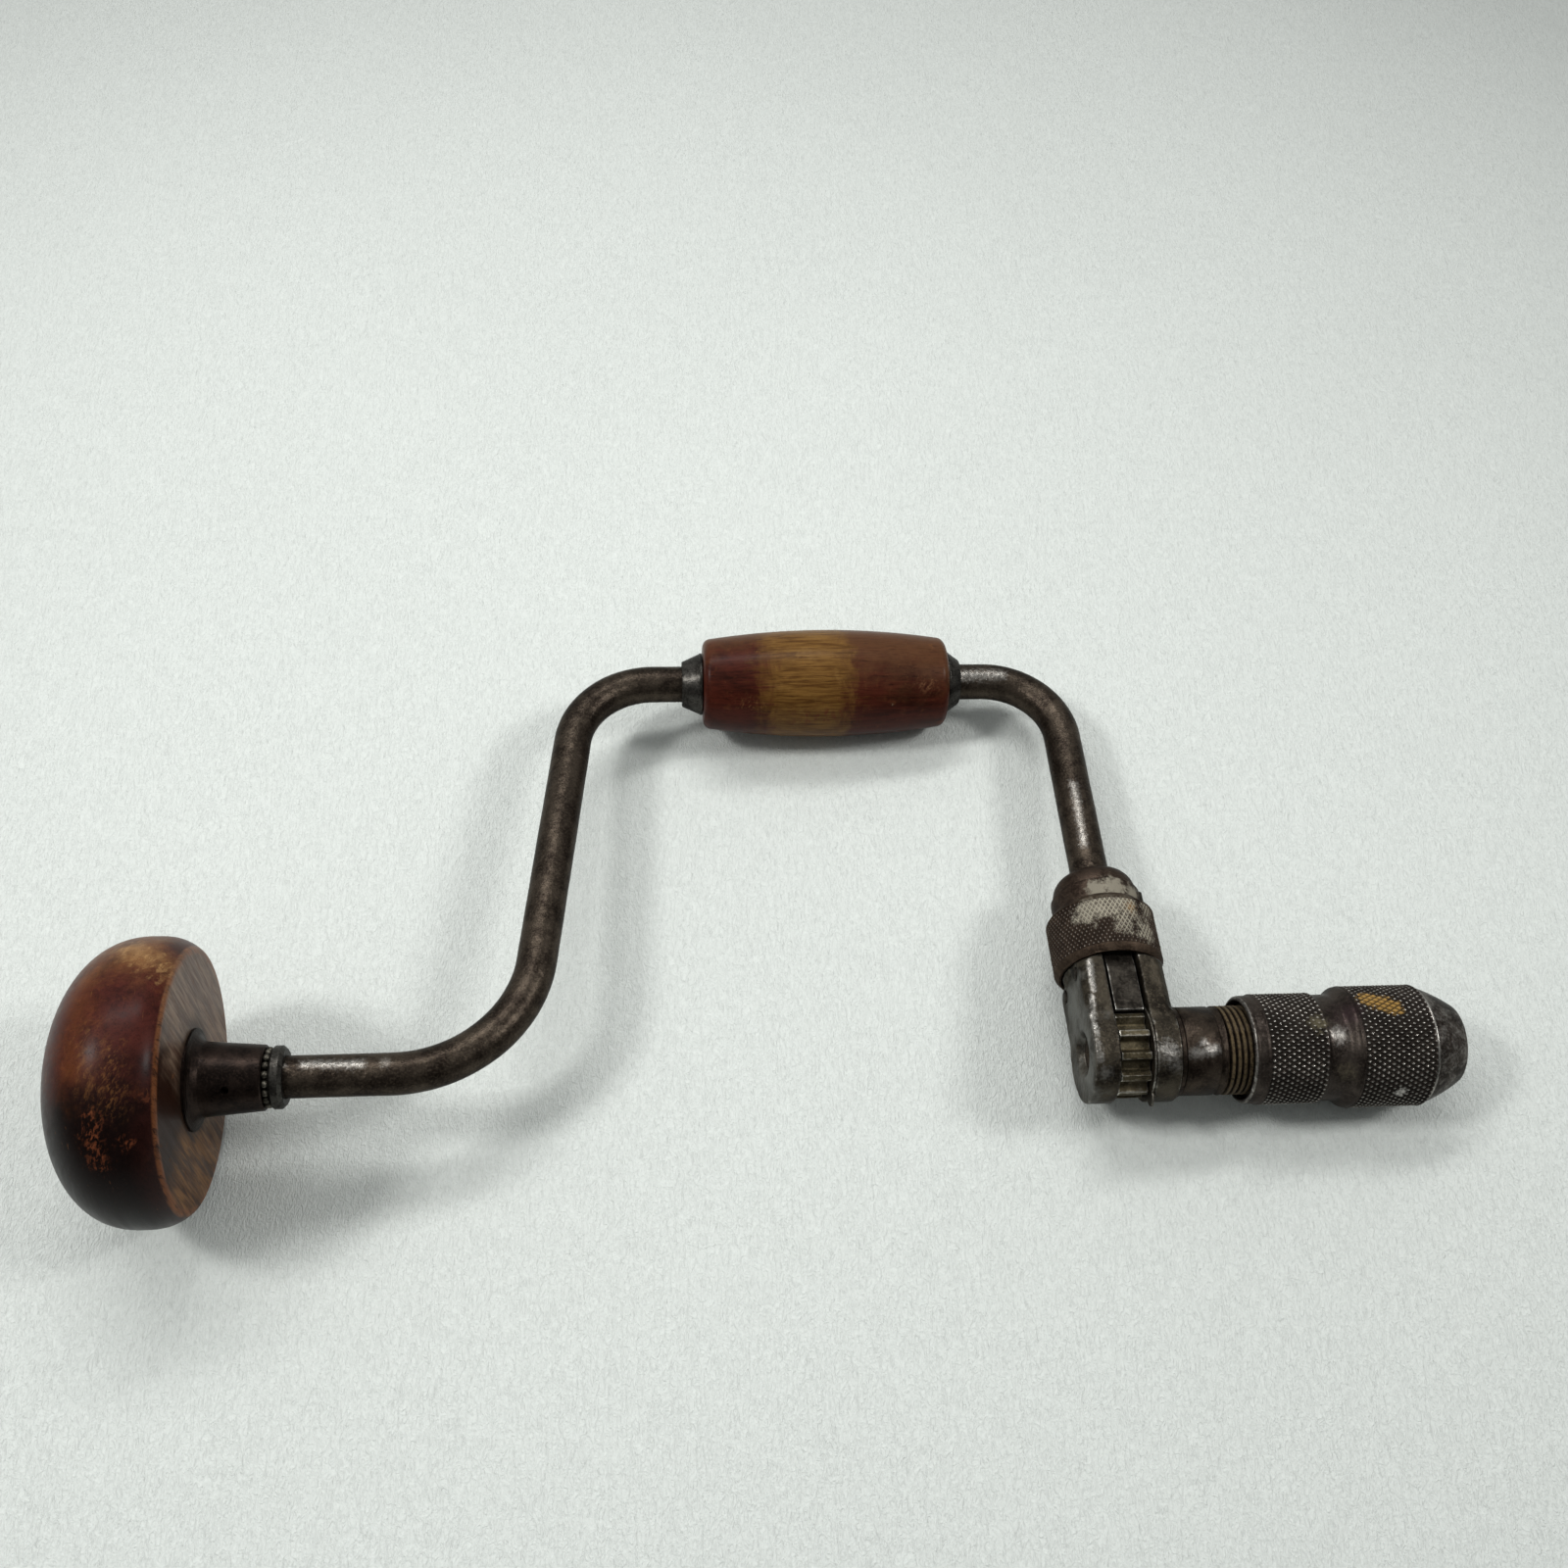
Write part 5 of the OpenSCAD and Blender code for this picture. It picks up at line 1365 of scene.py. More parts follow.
@dataclass
class CrankRod:
    """The forged rod of the crank. Sizes are in mm.

    Swell is how far the forging's waves reach, each with its frequency per mm and its phase, and
    squash is how far from round the rod is.
    """

    radius: float = 5.4
    throw: float = 127.0
    foot: float = -158.9
    top: float = -144.3
    bends: tuple[float, float, float] = (36.0, 24.0, 22.0)
    start: float = -256.15
    end: float = 33.6
    step: float = 1.2
    swell: float = 0.035
    waves: Profile = ((0.21, 0.0), (0.083, 1.0), (0.47, 2.0))
    squash: float = 0.004
    squash_turn: float = 0.6
    columns: int = 72

    def path(self) -> np.ndarray:
        """Draws the rod's centre line.

        Returns:
            Points in the crank's plane, closely spaced.
        """
        corners = [np.array(c, float) for c in
                   ((self.start, 0), (self.foot, 0), (self.top, self.throw), (0, self.throw), (0, self.end))]
        line = [corners[0]]
        for before, corner, after, bend in zip(corners, corners[1:], corners[2:], self.bends):
            a = (corner - before) / np.linalg.norm(corner - before)
            b = (after - corner) / np.linalg.norm(after - corner)
            turn = math.acos(float(a @ b))
            side = math.copysign(1, a[0] * b[1] - a[1] * b[0])
            tangent = bend * math.tan(turn / 2)
            first = corner - a * tangent
            centre = first + side * bend * np.array([-a[1], a[0]])
            for k in np.linspace(0, turn, max(8, int(bend * turn / self.step))):
                c, s = math.cos(side * k), math.sin(side * k)
                arm = first - centre
                line.append(centre + np.array([c * arm[0] - s * arm[1], s * arm[0] + c * arm[1]]))
        line.append(corners[-1])
        return densify(np.array(line), self.step, closed=False)

    def build(self) -> None:
        """Sweeps and dresses the rod."""
        path = self.path()
        tangent = np.gradient(path, axis=0)
        tangent /= np.linalg.norm(tangent, axis=1)[:, None]
        across = np.stack([-tangent[:, 1], tangent[:, 0]], 1)
        angle = angles(self.columns)
        length = np.concatenate([[0], np.cumsum(np.linalg.norm(np.diff(path, axis=0), axis=1))])
        swell = self.swell * sum(np.sin(length * k + phase) for k, phase in self.waves) / len(self.waves)
        radius = (self.radius + swell)[:, None] * (1 + self.squash * np.sin(2 * angle + self.squash_turn))
        rings = path[:, None, :] + across[:, None, :] * (radius * np.cos(angle))[:, :, None]
        points = np.concatenate([rings, (radius * np.sin(angle))[:, :, None]], 2).reshape(-1, 3)
        rows, columns = radius.shape
        ends = [tuple(range(columns)), tuple(range((rows - 1) * columns, rows * columns))]
        faces = grid_faces(rows, columns, loop=False) + ends
        rod = Surface("crank_rod_forged", points, faces, {}).build(sharp=50)
        seat(dress(rod, ROD_STEEL.material()), "crank", "dark_steel", "crank_rod")


@dataclass
class SweepHandle:
    """The turned barrel and its two ferrules. Stations run from the barrel's middle, in mm.

    Ferrule holds a ferrule's large and small radius, and ferrule_step the points of the small
    step behind its rim, from the rim's corner. Barrel_step and ferrule_fineness are the longest
    stretches between points of their outlines.
    """

    half: float = 37.0
    radius: float = 16.25
    end_radius: float = 13.35
    edge: float = 2.6
    bore: float = 5.7
    ferrule: tuple[float, float] = (9.4, 6.8)
    ferrule_step: Profile = ((0.75, 0.0), (0.85, -0.22), (1.0, -0.3))
    ferrule_lengths: tuple[float, float] = (6.1, 4.2)
    rounding: float = 0.16
    rod: float = 5.42
    gap: float = 0.25
    barrel_step: float = 2.0
    ferrule_fineness: float = 0.8

    def outline(self) -> np.ndarray:
        """Draws the barrel's outline.

        Returns:
            The closed outline.
        """
        crown = self.radius - self.end_radius
        arc = (self.half ** 2 + crown ** 2) / (2 * crown)
        flat = self.half - self.edge
        side = np.linspace(-flat, flat, 60)
        barrel = np.stack([side, self.radius - arc + np.sqrt(arc ** 2 - side ** 2)], 1)
        turn = np.radians(np.linspace(0, 90, 9))[:-1]
        low = barrel[0, 1] - self.edge
        left = np.stack([-flat - self.edge * np.cos(turn), low + self.edge * np.sin(turn)], 1)
        right = np.stack([-left[::-1, 0], left[::-1, 1]], 1)
        return np.concatenate([[(-self.half, self.bore)], left, barrel, right, [(self.half, self.bore)]])

    def ferrule_piece(self, name: str, way: int, length: float) -> bpy.types.Object:
        """Turns one ferrule.

        Args:
            name: The piece's name.
            way: Minus 1 at the rear end and 1 at the front end.
            length: The ferrule's length.

        Returns:
            The piece.
        """
        large, small = self.ferrule
        base = self.half + self.gap
        corners = [(base, self.rod), (base, large)]
        corners += [(base + along, large + out) for along, out in self.ferrule_step]
        corners += [(base + length, small), (base + length, self.rod)]
        outline = soften([(way * s, r) for s, r in corners], self.rounding)
        outline = densify(outline, self.ferrule_fineness)
        return Surface.turned(name, outline, Axis.HANDLE, 96).build(sharp=35)

    def build(self) -> None:
        """Builds and dresses the handle."""
        outline = densify(self.outline(), self.barrel_step)
        barrel = Surface.turned("sweep_barrel", outline, Axis.HANDLE).build(sharp=30)
        seat(dress(barrel, HANDLE_WOOD.material(golden_middle)), "handle", "handle_wood", "sweep_handle")
        steel = BLUED_STEEL.material()
        rear, front = self.ferrule_lengths
        for name, node, way, length in (("ferrule_rear_turned", "rear_ferrule", -1, rear),
                                        ("ferrule_front_turned", "front_ferrule", 1, front)):
            seat(dress(self.ferrule_piece(name, way, length), steel), "crank", "blue_steel", node)


@dataclass
class RatchetFrame:
    """The fork, its cap and its pins. Stations run along the arm, in mm.

    Cap_step is the width of the small step above the cap's band, cap_chamfer the height and width
    of the band's chamfer, and cap_fineness the longest stretch between points of its outline.
    """

    cap_foot: float = 42.0
    cap_radius: float = 12.4
    band: float = 5.5
    dome: float = 6.5
    fullness: float = 2.3
    rod: float = 5.42
    cap_step: float = 0.8
    cap_chamfer: tuple[float, float] = (0.3, 0.45)
    rounding: float = 0.2
    cap_fineness: float = 0.8
    pins: tuple[str, ...] = ("pawl_pin_upper", "pawl_pin_lower", "ring_stop_pin", "fork_cross_pin")
    fork_wear: Worn = Worn(0.38, 9, 0.06, 4.0, 5)
    washer_wear: Worn = Worn(0.15, 1, 0.0, 3.0, 2)

    def cap_outline(self) -> np.ndarray:
        """Draws the cap's outline, with the small step above its band.

        Returns:
            The closed outline.
        """
        top = self.cap_foot + self.band
        width, power = self.cap_radius - self.cap_step - self.rod, 2 / self.fullness
        high, wide = self.cap_chamfer
        dome = [(top + self.dome * max(math.sin(a), 0.0) ** power,
                 self.rod + width * max(math.cos(a), 0.0) ** power)
                for a in np.radians(np.linspace(0, 90, 32))]
        foot = [(self.cap_foot, self.rod), (self.cap_foot, self.cap_radius),
                (top - high, self.cap_radius), (top, self.cap_radius - wide)]
        return np.concatenate([soften(foot, self.rounding)[1:], dome])

    def build(self) -> None:
        """Builds and dresses the fork and what is fixed to it."""
        fork = worn_copy("fork_forged", "ratchet_fork", self.fork_wear)
        seat(dress(fork, FORK_STEEL.material()), "crank", "dark_steel", "ratchet_fork")
        outline = densify(self.cap_outline(), self.cap_fineness)
        cap = Surface.turned("cap_turned", outline, Axis.ARM).build(sharp=40)
        seat(dress(cap, CAP_STEEL.material()), "crank", "dark_steel", "ring_cap")
        steel = PAWL_STEEL.material()
        for node in self.pins:
            dress_node(node, steel)
        washer = worn_copy("wheel_washer_worn", "wheel_washer", self.washer_wear)
        seat(dress(washer, FORK_STEEL.material()), "crank", "worn_steel", "wheel_washer")


@dataclass
class KnurledPiece:
    """What the knurled pieces share: their grid, their diamonds and their wear. Sizes are in mm.

    Run_out is the length in which the diamonds fade at a knurl's ends, groove_wear and tip_wear
    are how worn the grooves are and how much more the tips are, and plain_wear is the wear of the
    plain bands. The powers keep the wear near the tips and the grime off them.
    """

    columns: int = 720
    row_step: float = 0.15
    pitch: float = 1.64
    lead: float = 2.6
    depth: float = 0.52
    run_out: float = 0.35
    groove_wear: float = 0.02
    tip_wear: float = 0.84
    plain_wear: float = 0.08
    wear_power: int = 3
    grime_power: float = 0.7

    def plain_rows(self, points: Sequence[tuple[float, float]], wear: Optional[float] = None,
                   grime: float = 0.0) -> list[np.ndarray]:
        """Makes rows that are round.

        Args:
            points: A (station, radius) for each row.
            wear: How worn they are, if not as a plain band.
            grime: How grimy they are.

        Returns:
            Their stations, and their radii, wear and grime for each column.
        """
        station, radius = np.array(points, float).T
        radius = np.repeat(radius[:, None], self.columns, axis=1)
        worn = self.plain_wear if wear is None else wear
        return [station, radius, np.full(radius.shape, worn), np.full(radius.shape, grime)]

    def knurled_rows(self, start: float, end: float, crest: float) -> list[np.ndarray]:
        """Makes rows that a knurl is cut into.

        Args:
            start: Where they start along the axis.
            end: Where they end.
            crest: The radius of the diamonds' tips.

        Returns:
            Their stations, and their radii, wear and grime for each column.
        """
        station = np.arange(start, end, self.row_step)
        height = knurl(station[:, None], angles(self.columns), crest, self.pitch, self.lead, self.depth)
        fade = np.minimum(station - station[0], station[-1] - station) / self.run_out
        fade = np.clip(fade, 0, 1)[:, None]
        share = height / self.depth
        wear = self.groove_wear + self.tip_wear * share ** self.wear_power
        grime = (1 - share) ** self.grime_power * fade
        return [station, crest - (self.depth - height) * fade, wear, grime]


@dataclass
class KnurledRing(KnurledPiece):
    """The cam ring. Stations run along the arm in mm, and angles from up towards the chuck in degrees.

    Rim and crown are the points of its lower and upper edge, each as its distance from the foot
    or the top and its distance inside the tips of the knurl. Wall is the height of the steps inside
    it, and notch_rows are the rows after the knurl that the notch lowers.
    """

    foot: float = 23.4
    top: float = 41.8
    radius: float = 14.95
    mouth: float = 13.25
    mouth_end: float = 25.6
    bore: float = 12.45
    lip: float = 39.8
    neck: float = 11.05
    cam_top: float = 30.45
    cam_mean: float = 13.253
    cam_rise: float = 0.683
    cam_half: float = 28.5
    ring_turn: float = 20.0
    notch_angle: float = 56.0
    notch_half: float = 25.9
    notch_floor: float = 40.5
    notch_rows: tuple[int, int] = (2, 7)
    wall: float = 0.05
    knurl_gap: tuple[float, float] = (2.0, 2.2)
    rim: Profile = ((0.0, 1.15), (0.25, 0.95), (1.5, 0.12), (1.8, 0.05))
    crown: Profile = ((2.1, 0.05), (1.9, 0.15), (0.25, 1.55), (0.05, 1.75), (0.0, 2.0))
    row_step: float = 0.14
    pitch: float = 1.30
    lead: float = 2.0
    depth: float = 0.40
    run_out: float = 0.30
    tip_wear: float = 0.85
    plain_wear: float = 0.15

    def build(self) -> None:
        """Builds and dresses the ring, with its two cams inside and its stop notch on top."""
        rim = [(self.foot + along, self.radius - inside) for along, inside in self.rim]
        crown = [(self.top - along, self.radius - inside) for along, inside in self.crown]
        crown += [(self.top, self.neck), (self.lip, self.neck), (self.lip, self.bore),
                  (self.cam_top + self.wall, self.bore)]
        cam = [(self.cam_top, self.bore), (self.mouth_end + self.wall, self.bore),
               (self.mouth_end, self.mouth), (self.foot, self.mouth)]
        below, above = self.knurl_gap
        runs = [self.plain_rows(rim), self.knurled_rows(self.foot + below, self.top - above, self.radius),
                self.plain_rows(crown + cam)]
        station, radius, wear, grime = (np.concatenate(part) for part in zip(*runs))
        station = np.repeat(station[:, None], self.columns, axis=1)
        degrees = np.linspace(0, 360, self.columns, endpoint=False)
        for side, centre in ((1, 0.0), (-1, 180.0)):
            off = (degrees - centre + 180) % 360 - 180
            wall = np.maximum(self.bore, self.cam_mean - side * self.cam_rise * off / self.ring_turn)
            wall = np.where(np.abs(off) < self.cam_half, wall, self.bore)
            radius[-len(cam):] = np.maximum(radius[-len(cam):], wall)
        around = (degrees + 180) % 360 - 180
        inside = np.abs(around - self.notch_angle) < self.notch_half
        knurl_end = len(station) - len(crown) - len(cam)
        for row in range(*self.notch_rows):
            height = station[knurl_end + row, inside]
            station[knurl_end + row, inside] = np.minimum(height, self.notch_floor)
        ring = Surface.revolved("cam_ring_knurled", station, radius, Axis.ARM,
                                marks={Mark.WEAR: wear, Mark.GRIME: grime}).build(sharp=50)
        seat(dress(ring, RING_STEEL.material()), "selector_ring", "dark_steel", "cam_ring")


@dataclass
class RatchetWorks:
    """The toothed wheel, the pawls and their springs."""

    wheel: Worn = Worn(0.22, 2, 0.02, 4.0, 2)
    pawl: Worn = Worn(0.24, 3, 0.03, 5.0, 3)

    def build(self) -> None:
        """Builds and dresses the works."""
        wheel = worn_copy("ratchet_wheel_worn", "ratchet_wheel", self.wheel)
        brown = WHEEL_STEEL.material()
        seat(dress(wheel, brown), "spindle", "worn_steel", "ratchet_wheel")
        dress_node("wheel_pin", brown)
        steel = PAWL_STEEL.material()
        for side in ("upper", "lower"):
            pawl = worn_copy(f"pawl_{side}_worn", f"pawl_{side}", self.pawl)
            seat(dress(pawl, steel), f"{side}_pawl", "worn_steel", f"pawl_{side}")
        dress_node("pawl_spring", BRIGHT_STEEL.material())


@dataclass
class ThreadedSpindle:
    """The spindle with its cut thread. Stations run along the spindle, in mm.

    Crest_gain and crest_cut make the crests round and wide, run_out and run_in are the lengths in
    which the thread ends and starts, start_drop is how far it starts below its crests, skirt how
    far its open ends reach into the spindle, and shaft_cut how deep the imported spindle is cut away.
    Wear and grime hold the mark of a groove and how much a crest adds to it.
    """

    thread_start: float = 24.0
    thread_end: float = 42.5
    major: float = 11.7
    pitch: float = 1.6
    depth: float = 0.85
    columns: int = 180
    row_step: float = 0.1
    crest_gain: float = 2.2
    crest_cut: float = 0.25
    run_out: float = 1.2
    run_in: float = 0.5
    start_drop: float = 0.45
    skirt: float = 2.2
    shaft_cut: float = 0.5
    wear: tuple[float, float] = (0.05, 0.2)
    grime: tuple[float, float] = (0.1, 0.58)

    def thread(self) -> Surface:
        """Cuts the thread as one grid that runs out at both ends.

        Returns:
            The threaded band.
        """
        station = np.arange(self.thread_start, self.thread_end + self.row_step / 2, self.row_step)
        phase = (station[:, None] / self.pitch - angles(self.columns) / (2 * np.pi)) % 1.0
        crest = np.clip(self.crest_gain * (1 - np.abs(2 * phase - 1)) - self.crest_cut, 0, 1)
        fade = np.clip((self.thread_end - station) / self.run_out, 0, 1)[:, None]
        start = np.clip((station - self.thread_start) / self.run_in, 0, 1)[:, None]
        radius = self.major - self.depth * (1 - crest) * fade - (1 - start) * self.start_drop
        ends = np.full((1, self.columns), self.major - self.skirt)
        plain = np.zeros((1, self.columns))
        station = np.concatenate([station[:1], station, station[-1:]])
        crest = np.concatenate([plain, crest, plain])
        marks = {mark: groove + gain * crest ** 2
                 for mark, (groove, gain) in ((Mark.WEAR, self.wear), (Mark.GRIME, self.grime))}
        return Surface.revolved("spindle_thread", station, np.concatenate([ends, radius, ends]),
                                Axis.SPINDLE, False, marks)

    def body(self) -> bpy.types.Object:
        """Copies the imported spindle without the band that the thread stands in.

        Returns:
            The rest of the spindle.
        """
        mesh = frame["nodes"]["chuck_spindle"].data.copy()
        mesh.transform(STAND_UP)
        work = welded(mesh)
        for station in (self.thread_start, self.thread_end):
            everything = work.verts[:] + work.edges[:] + work.faces[:]
            bmesh.ops.bisect_plane(work, geom=everything, plane_co=(station, 0, 0), plane_no=(1, 0, 0))
        gone = []
        for face in work.faces:
            centre = face.calc_center_median()
            away = math.hypot(centre.y, centre.z)
            if self.thread_start < centre.x < self.thread_end and away > self.major - self.shaft_cut:
                gone.append(face)
        bmesh.ops.delete(work, geom=gone, context="FACES")
        work.to_mesh(mesh)
        work.free()
        mesh.transform(LAY_DOWN)
        shade(mesh, 30)
        return placed("spindle_body", mesh)

    def build(self) -> None:
        """Builds and dresses the spindle."""
        steel = SPINDLE_STEEL.material()
        seat(dress(self.body(), steel), "spindle", "dark_steel", "chuck_spindle")
        thread = dress(self.thread().build(sharp=60), steel)
        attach(thread, "spindle")
        dress_node("spindle_washer", steel)


@dataclass
class ChuckShell(KnurledPiece):
    """The knurled shell. Stations run along the spindle, in mm.

    Knurls holds the start, end and radius of its two knurls. The tuples of points are (station,
    radius) pairs: rim runs from the rear face, shoulder and waist_fall are the steps beside the
    rear knurl, swell_groove (from the swell's end) and nose_groove are those beside the front
    knurl. Nose holds the station and radius of its end, and nose_start where its fall begins.
    Mouth_land holds where the mouth's straight bore starts and ends, from the nose's end.
    """

    rear: float = 30.3
    knurls: tuple[tuple[float, float, float], ...] = ((34.2, 49.8, 14.6), (58.8, 78.0, 16.1))
    knurl_gap: tuple[float, float] = (0.1, 0.05)
    rim: Profile = ((0.0, 13.25), (0.03, 13.5), (0.2, 13.85), (0.5, 14.1), (0.9, 14.2), (1.2, 14.2),
                    (1.35, 14.08), (1.5, 14.08), (1.65, 14.2))
    shoulder: Profile = ((33.6, 14.2), (33.8, 14.3), (34.05, 14.5), (34.2, 14.6))
    waist_fall: Profile = ((49.8, 14.6), (50.1, 14.35), (50.6, 14.1), (51.3, 14.0))
    waist: float = 14.0
    waist_start: float = 52.0
    waist_gap: float = 0.3
    swell: tuple[float, float] = (55.0, 58.2)
    swell_rise: float = 1.95
    swell_groove: Profile = ((0.25, 15.95), (0.35, 15.85), (0.5, 15.95), (0.6, 16.1))
    nose_groove: Profile = ((78.0, 16.1), (78.15, 15.85), (78.3, 15.6), (78.5, 15.7), (78.75, 15.65))
    nose_start: tuple[float, float] = (78.9, 15.5)
    nose: tuple[float, float] = (89.2, 10.7)
    nose_edge: float = 1.2
    nose_tilt: float = 32.0
    nose_fall: float = 0.7
    rear_mouth: tuple[float, float] = (13.0, 2.6)
    mouth_chamfer: tuple[float, float] = (0.15, 0.1)
    thread_bore: float = 11.8
    thread_end: float = 63.5
    cavity: float = 12.1
    cavity_end: float = 78.2
    mouth: float = 7.4
    mouth_land: tuple[float, float] = (0.2, 1.8)
    mouth_flare: float = 0.25
    rim_wear_and_highlight: float = 0.45
    edge_wear: float = 0.60
    nose_wear: float = 0.36

    def outer(self) -> tuple[Outline, Outline, Outline]:
        """Draws the shell's outside without the knurls.

        Returns:
            Its points behind the rear knurl, between the knurls and before the front one.
        """
        first = [(self.rear + along, r) for along, r in self.rim] + list(self.shoulder)
        low, high = self.swell
        middle = list(self.waist_fall)
        middle += [(float(s), self.waist) for s in np.linspace(self.waist_start, low - self.waist_gap, 4)]
        middle += [(low + (high - low) * t, self.waist + self.swell_rise * math.sin(math.pi / 2 * t) ** 2)
                   for t in np.linspace(0, 1, 14)]
        middle += [(high + along, r) for along, r in self.swell_groove]
        return first, middle, list(self.nose_groove) + self.taper()

    def taper(self) -> Outline:
        """Draws the nose's fall and the rounding of its end.

        Returns:
            Their points.
        """
        tilt, edge = math.radians(self.nose_tilt), self.nose_edge
        (start, start_radius), (front, end_radius) = self.nose_start, self.nose
        end = front - edge * (1 - math.sin(tilt))
        fall = [(start + (end - start) * t,
                 start_radius - (start_radius - end_radius) * t * (self.nose_fall + (1 - self.nose_fall) * t))
                for t in np.linspace(0, 0.95, 24)]
        return fall + [(front - edge * (1 - math.sin(a)), end_radius + edge * (math.cos(a) - math.cos(tilt)))
                       for a in np.linspace(tilt, math.pi / 2, 7)]

    def inner(self) -> Outline:
        """Draws the shell's bore, from its mouth to its rear face.

        Returns:
            Its points.
        """
        front, (mouth, depth), (high, wide) = self.nose[0], self.rear_mouth, self.mouth_chamfer
        return [(front, self.mouth + self.mouth_flare), (front - self.mouth_land[0], self.mouth),
                (front - self.mouth_land[1], self.mouth), (self.cavity_end, self.cavity),
                (self.thread_end, self.cavity), (self.thread_end, self.thread_bore),
                (self.rear + depth, self.thread_bore), (self.rear + depth, mouth),
                (self.rear + high, mouth), (self.rear, mouth + wide)]

    def build(self) -> None:
        """Builds and dresses the shell."""
        first, middle, last = (self.plain_rows(points) for points in self.outer())
        # The rear rim's edge is worn bright, and a painted highlight runs along it.
        first[2][1:4] = self.rim_wear_and_highlight
        last[2][1:5] = self.edge_wear
        last[2][5:] = self.nose_wear
        after, before = self.knurl_gap
        rear, front = (self.knurled_rows(start + after, end - before, crest)
                       for start, end, crest in self.knurls)
        # The whole bore is marked as grime, which makes it dark inside: dirt, and painted shade.
        inside = self.plain_rows(self.inner(), wear=0.0, grime=1.0)
        station, radius, wear, grime = (
            np.concatenate(part) for part in zip(first, rear, middle, front, last, inside))
        shell = Surface.revolved("shell_knurled", station, radius, Axis.SPINDLE,
                                 marks={Mark.WEAR: wear, Mark.GRIME: grime}).build(sharp=50)
        seat(dress(shell, SHELL_STEEL.material()), "shell", "worn_steel", "chuck_shell")


@dataclass
class GripWorks:
    """The closing ring, the jaws and their spring, inside the shell."""

    nodes: tuple[str, ...] = ("closing_ring", "jaw_upper", "jaw_lower", "jaw_spring")

    def build(self) -> None:
        """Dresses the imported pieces."""
        steel = BRIGHT_STEEL.material()
        for node in self.nodes:
            dress_node(node, steel)


# ---- studio --------------------------------------------------------------------------


@dataclass(frozen=True)
class Lamp:
    """A soft ceiling lamp: the way to it, its distance and its two sides in metres, and its watts."""

    name: str
    toward: tuple[float, float, float]
    distance: float
    sides: tuple[float, float]
    power: float
    colour: Colour = (1.0, 1.0, 0.985)

    def hang(self) -> None:
        """Hangs the lamp so that it faces the brace."""
        light = bpy.data.lights.new(self.name, "AREA")
        light.shape = "RECTANGLE"
        light.size, light.size_y = self.sides
        light.energy, light.color = self.power, self.colour
        lamp = placed(self.name, light)
        toward = Vector(self.toward).normalized()
        lamp.location = toward * self.distance
        lamp.rotation_euler = toward.to_track_quat("Z", "Y").to_euler()


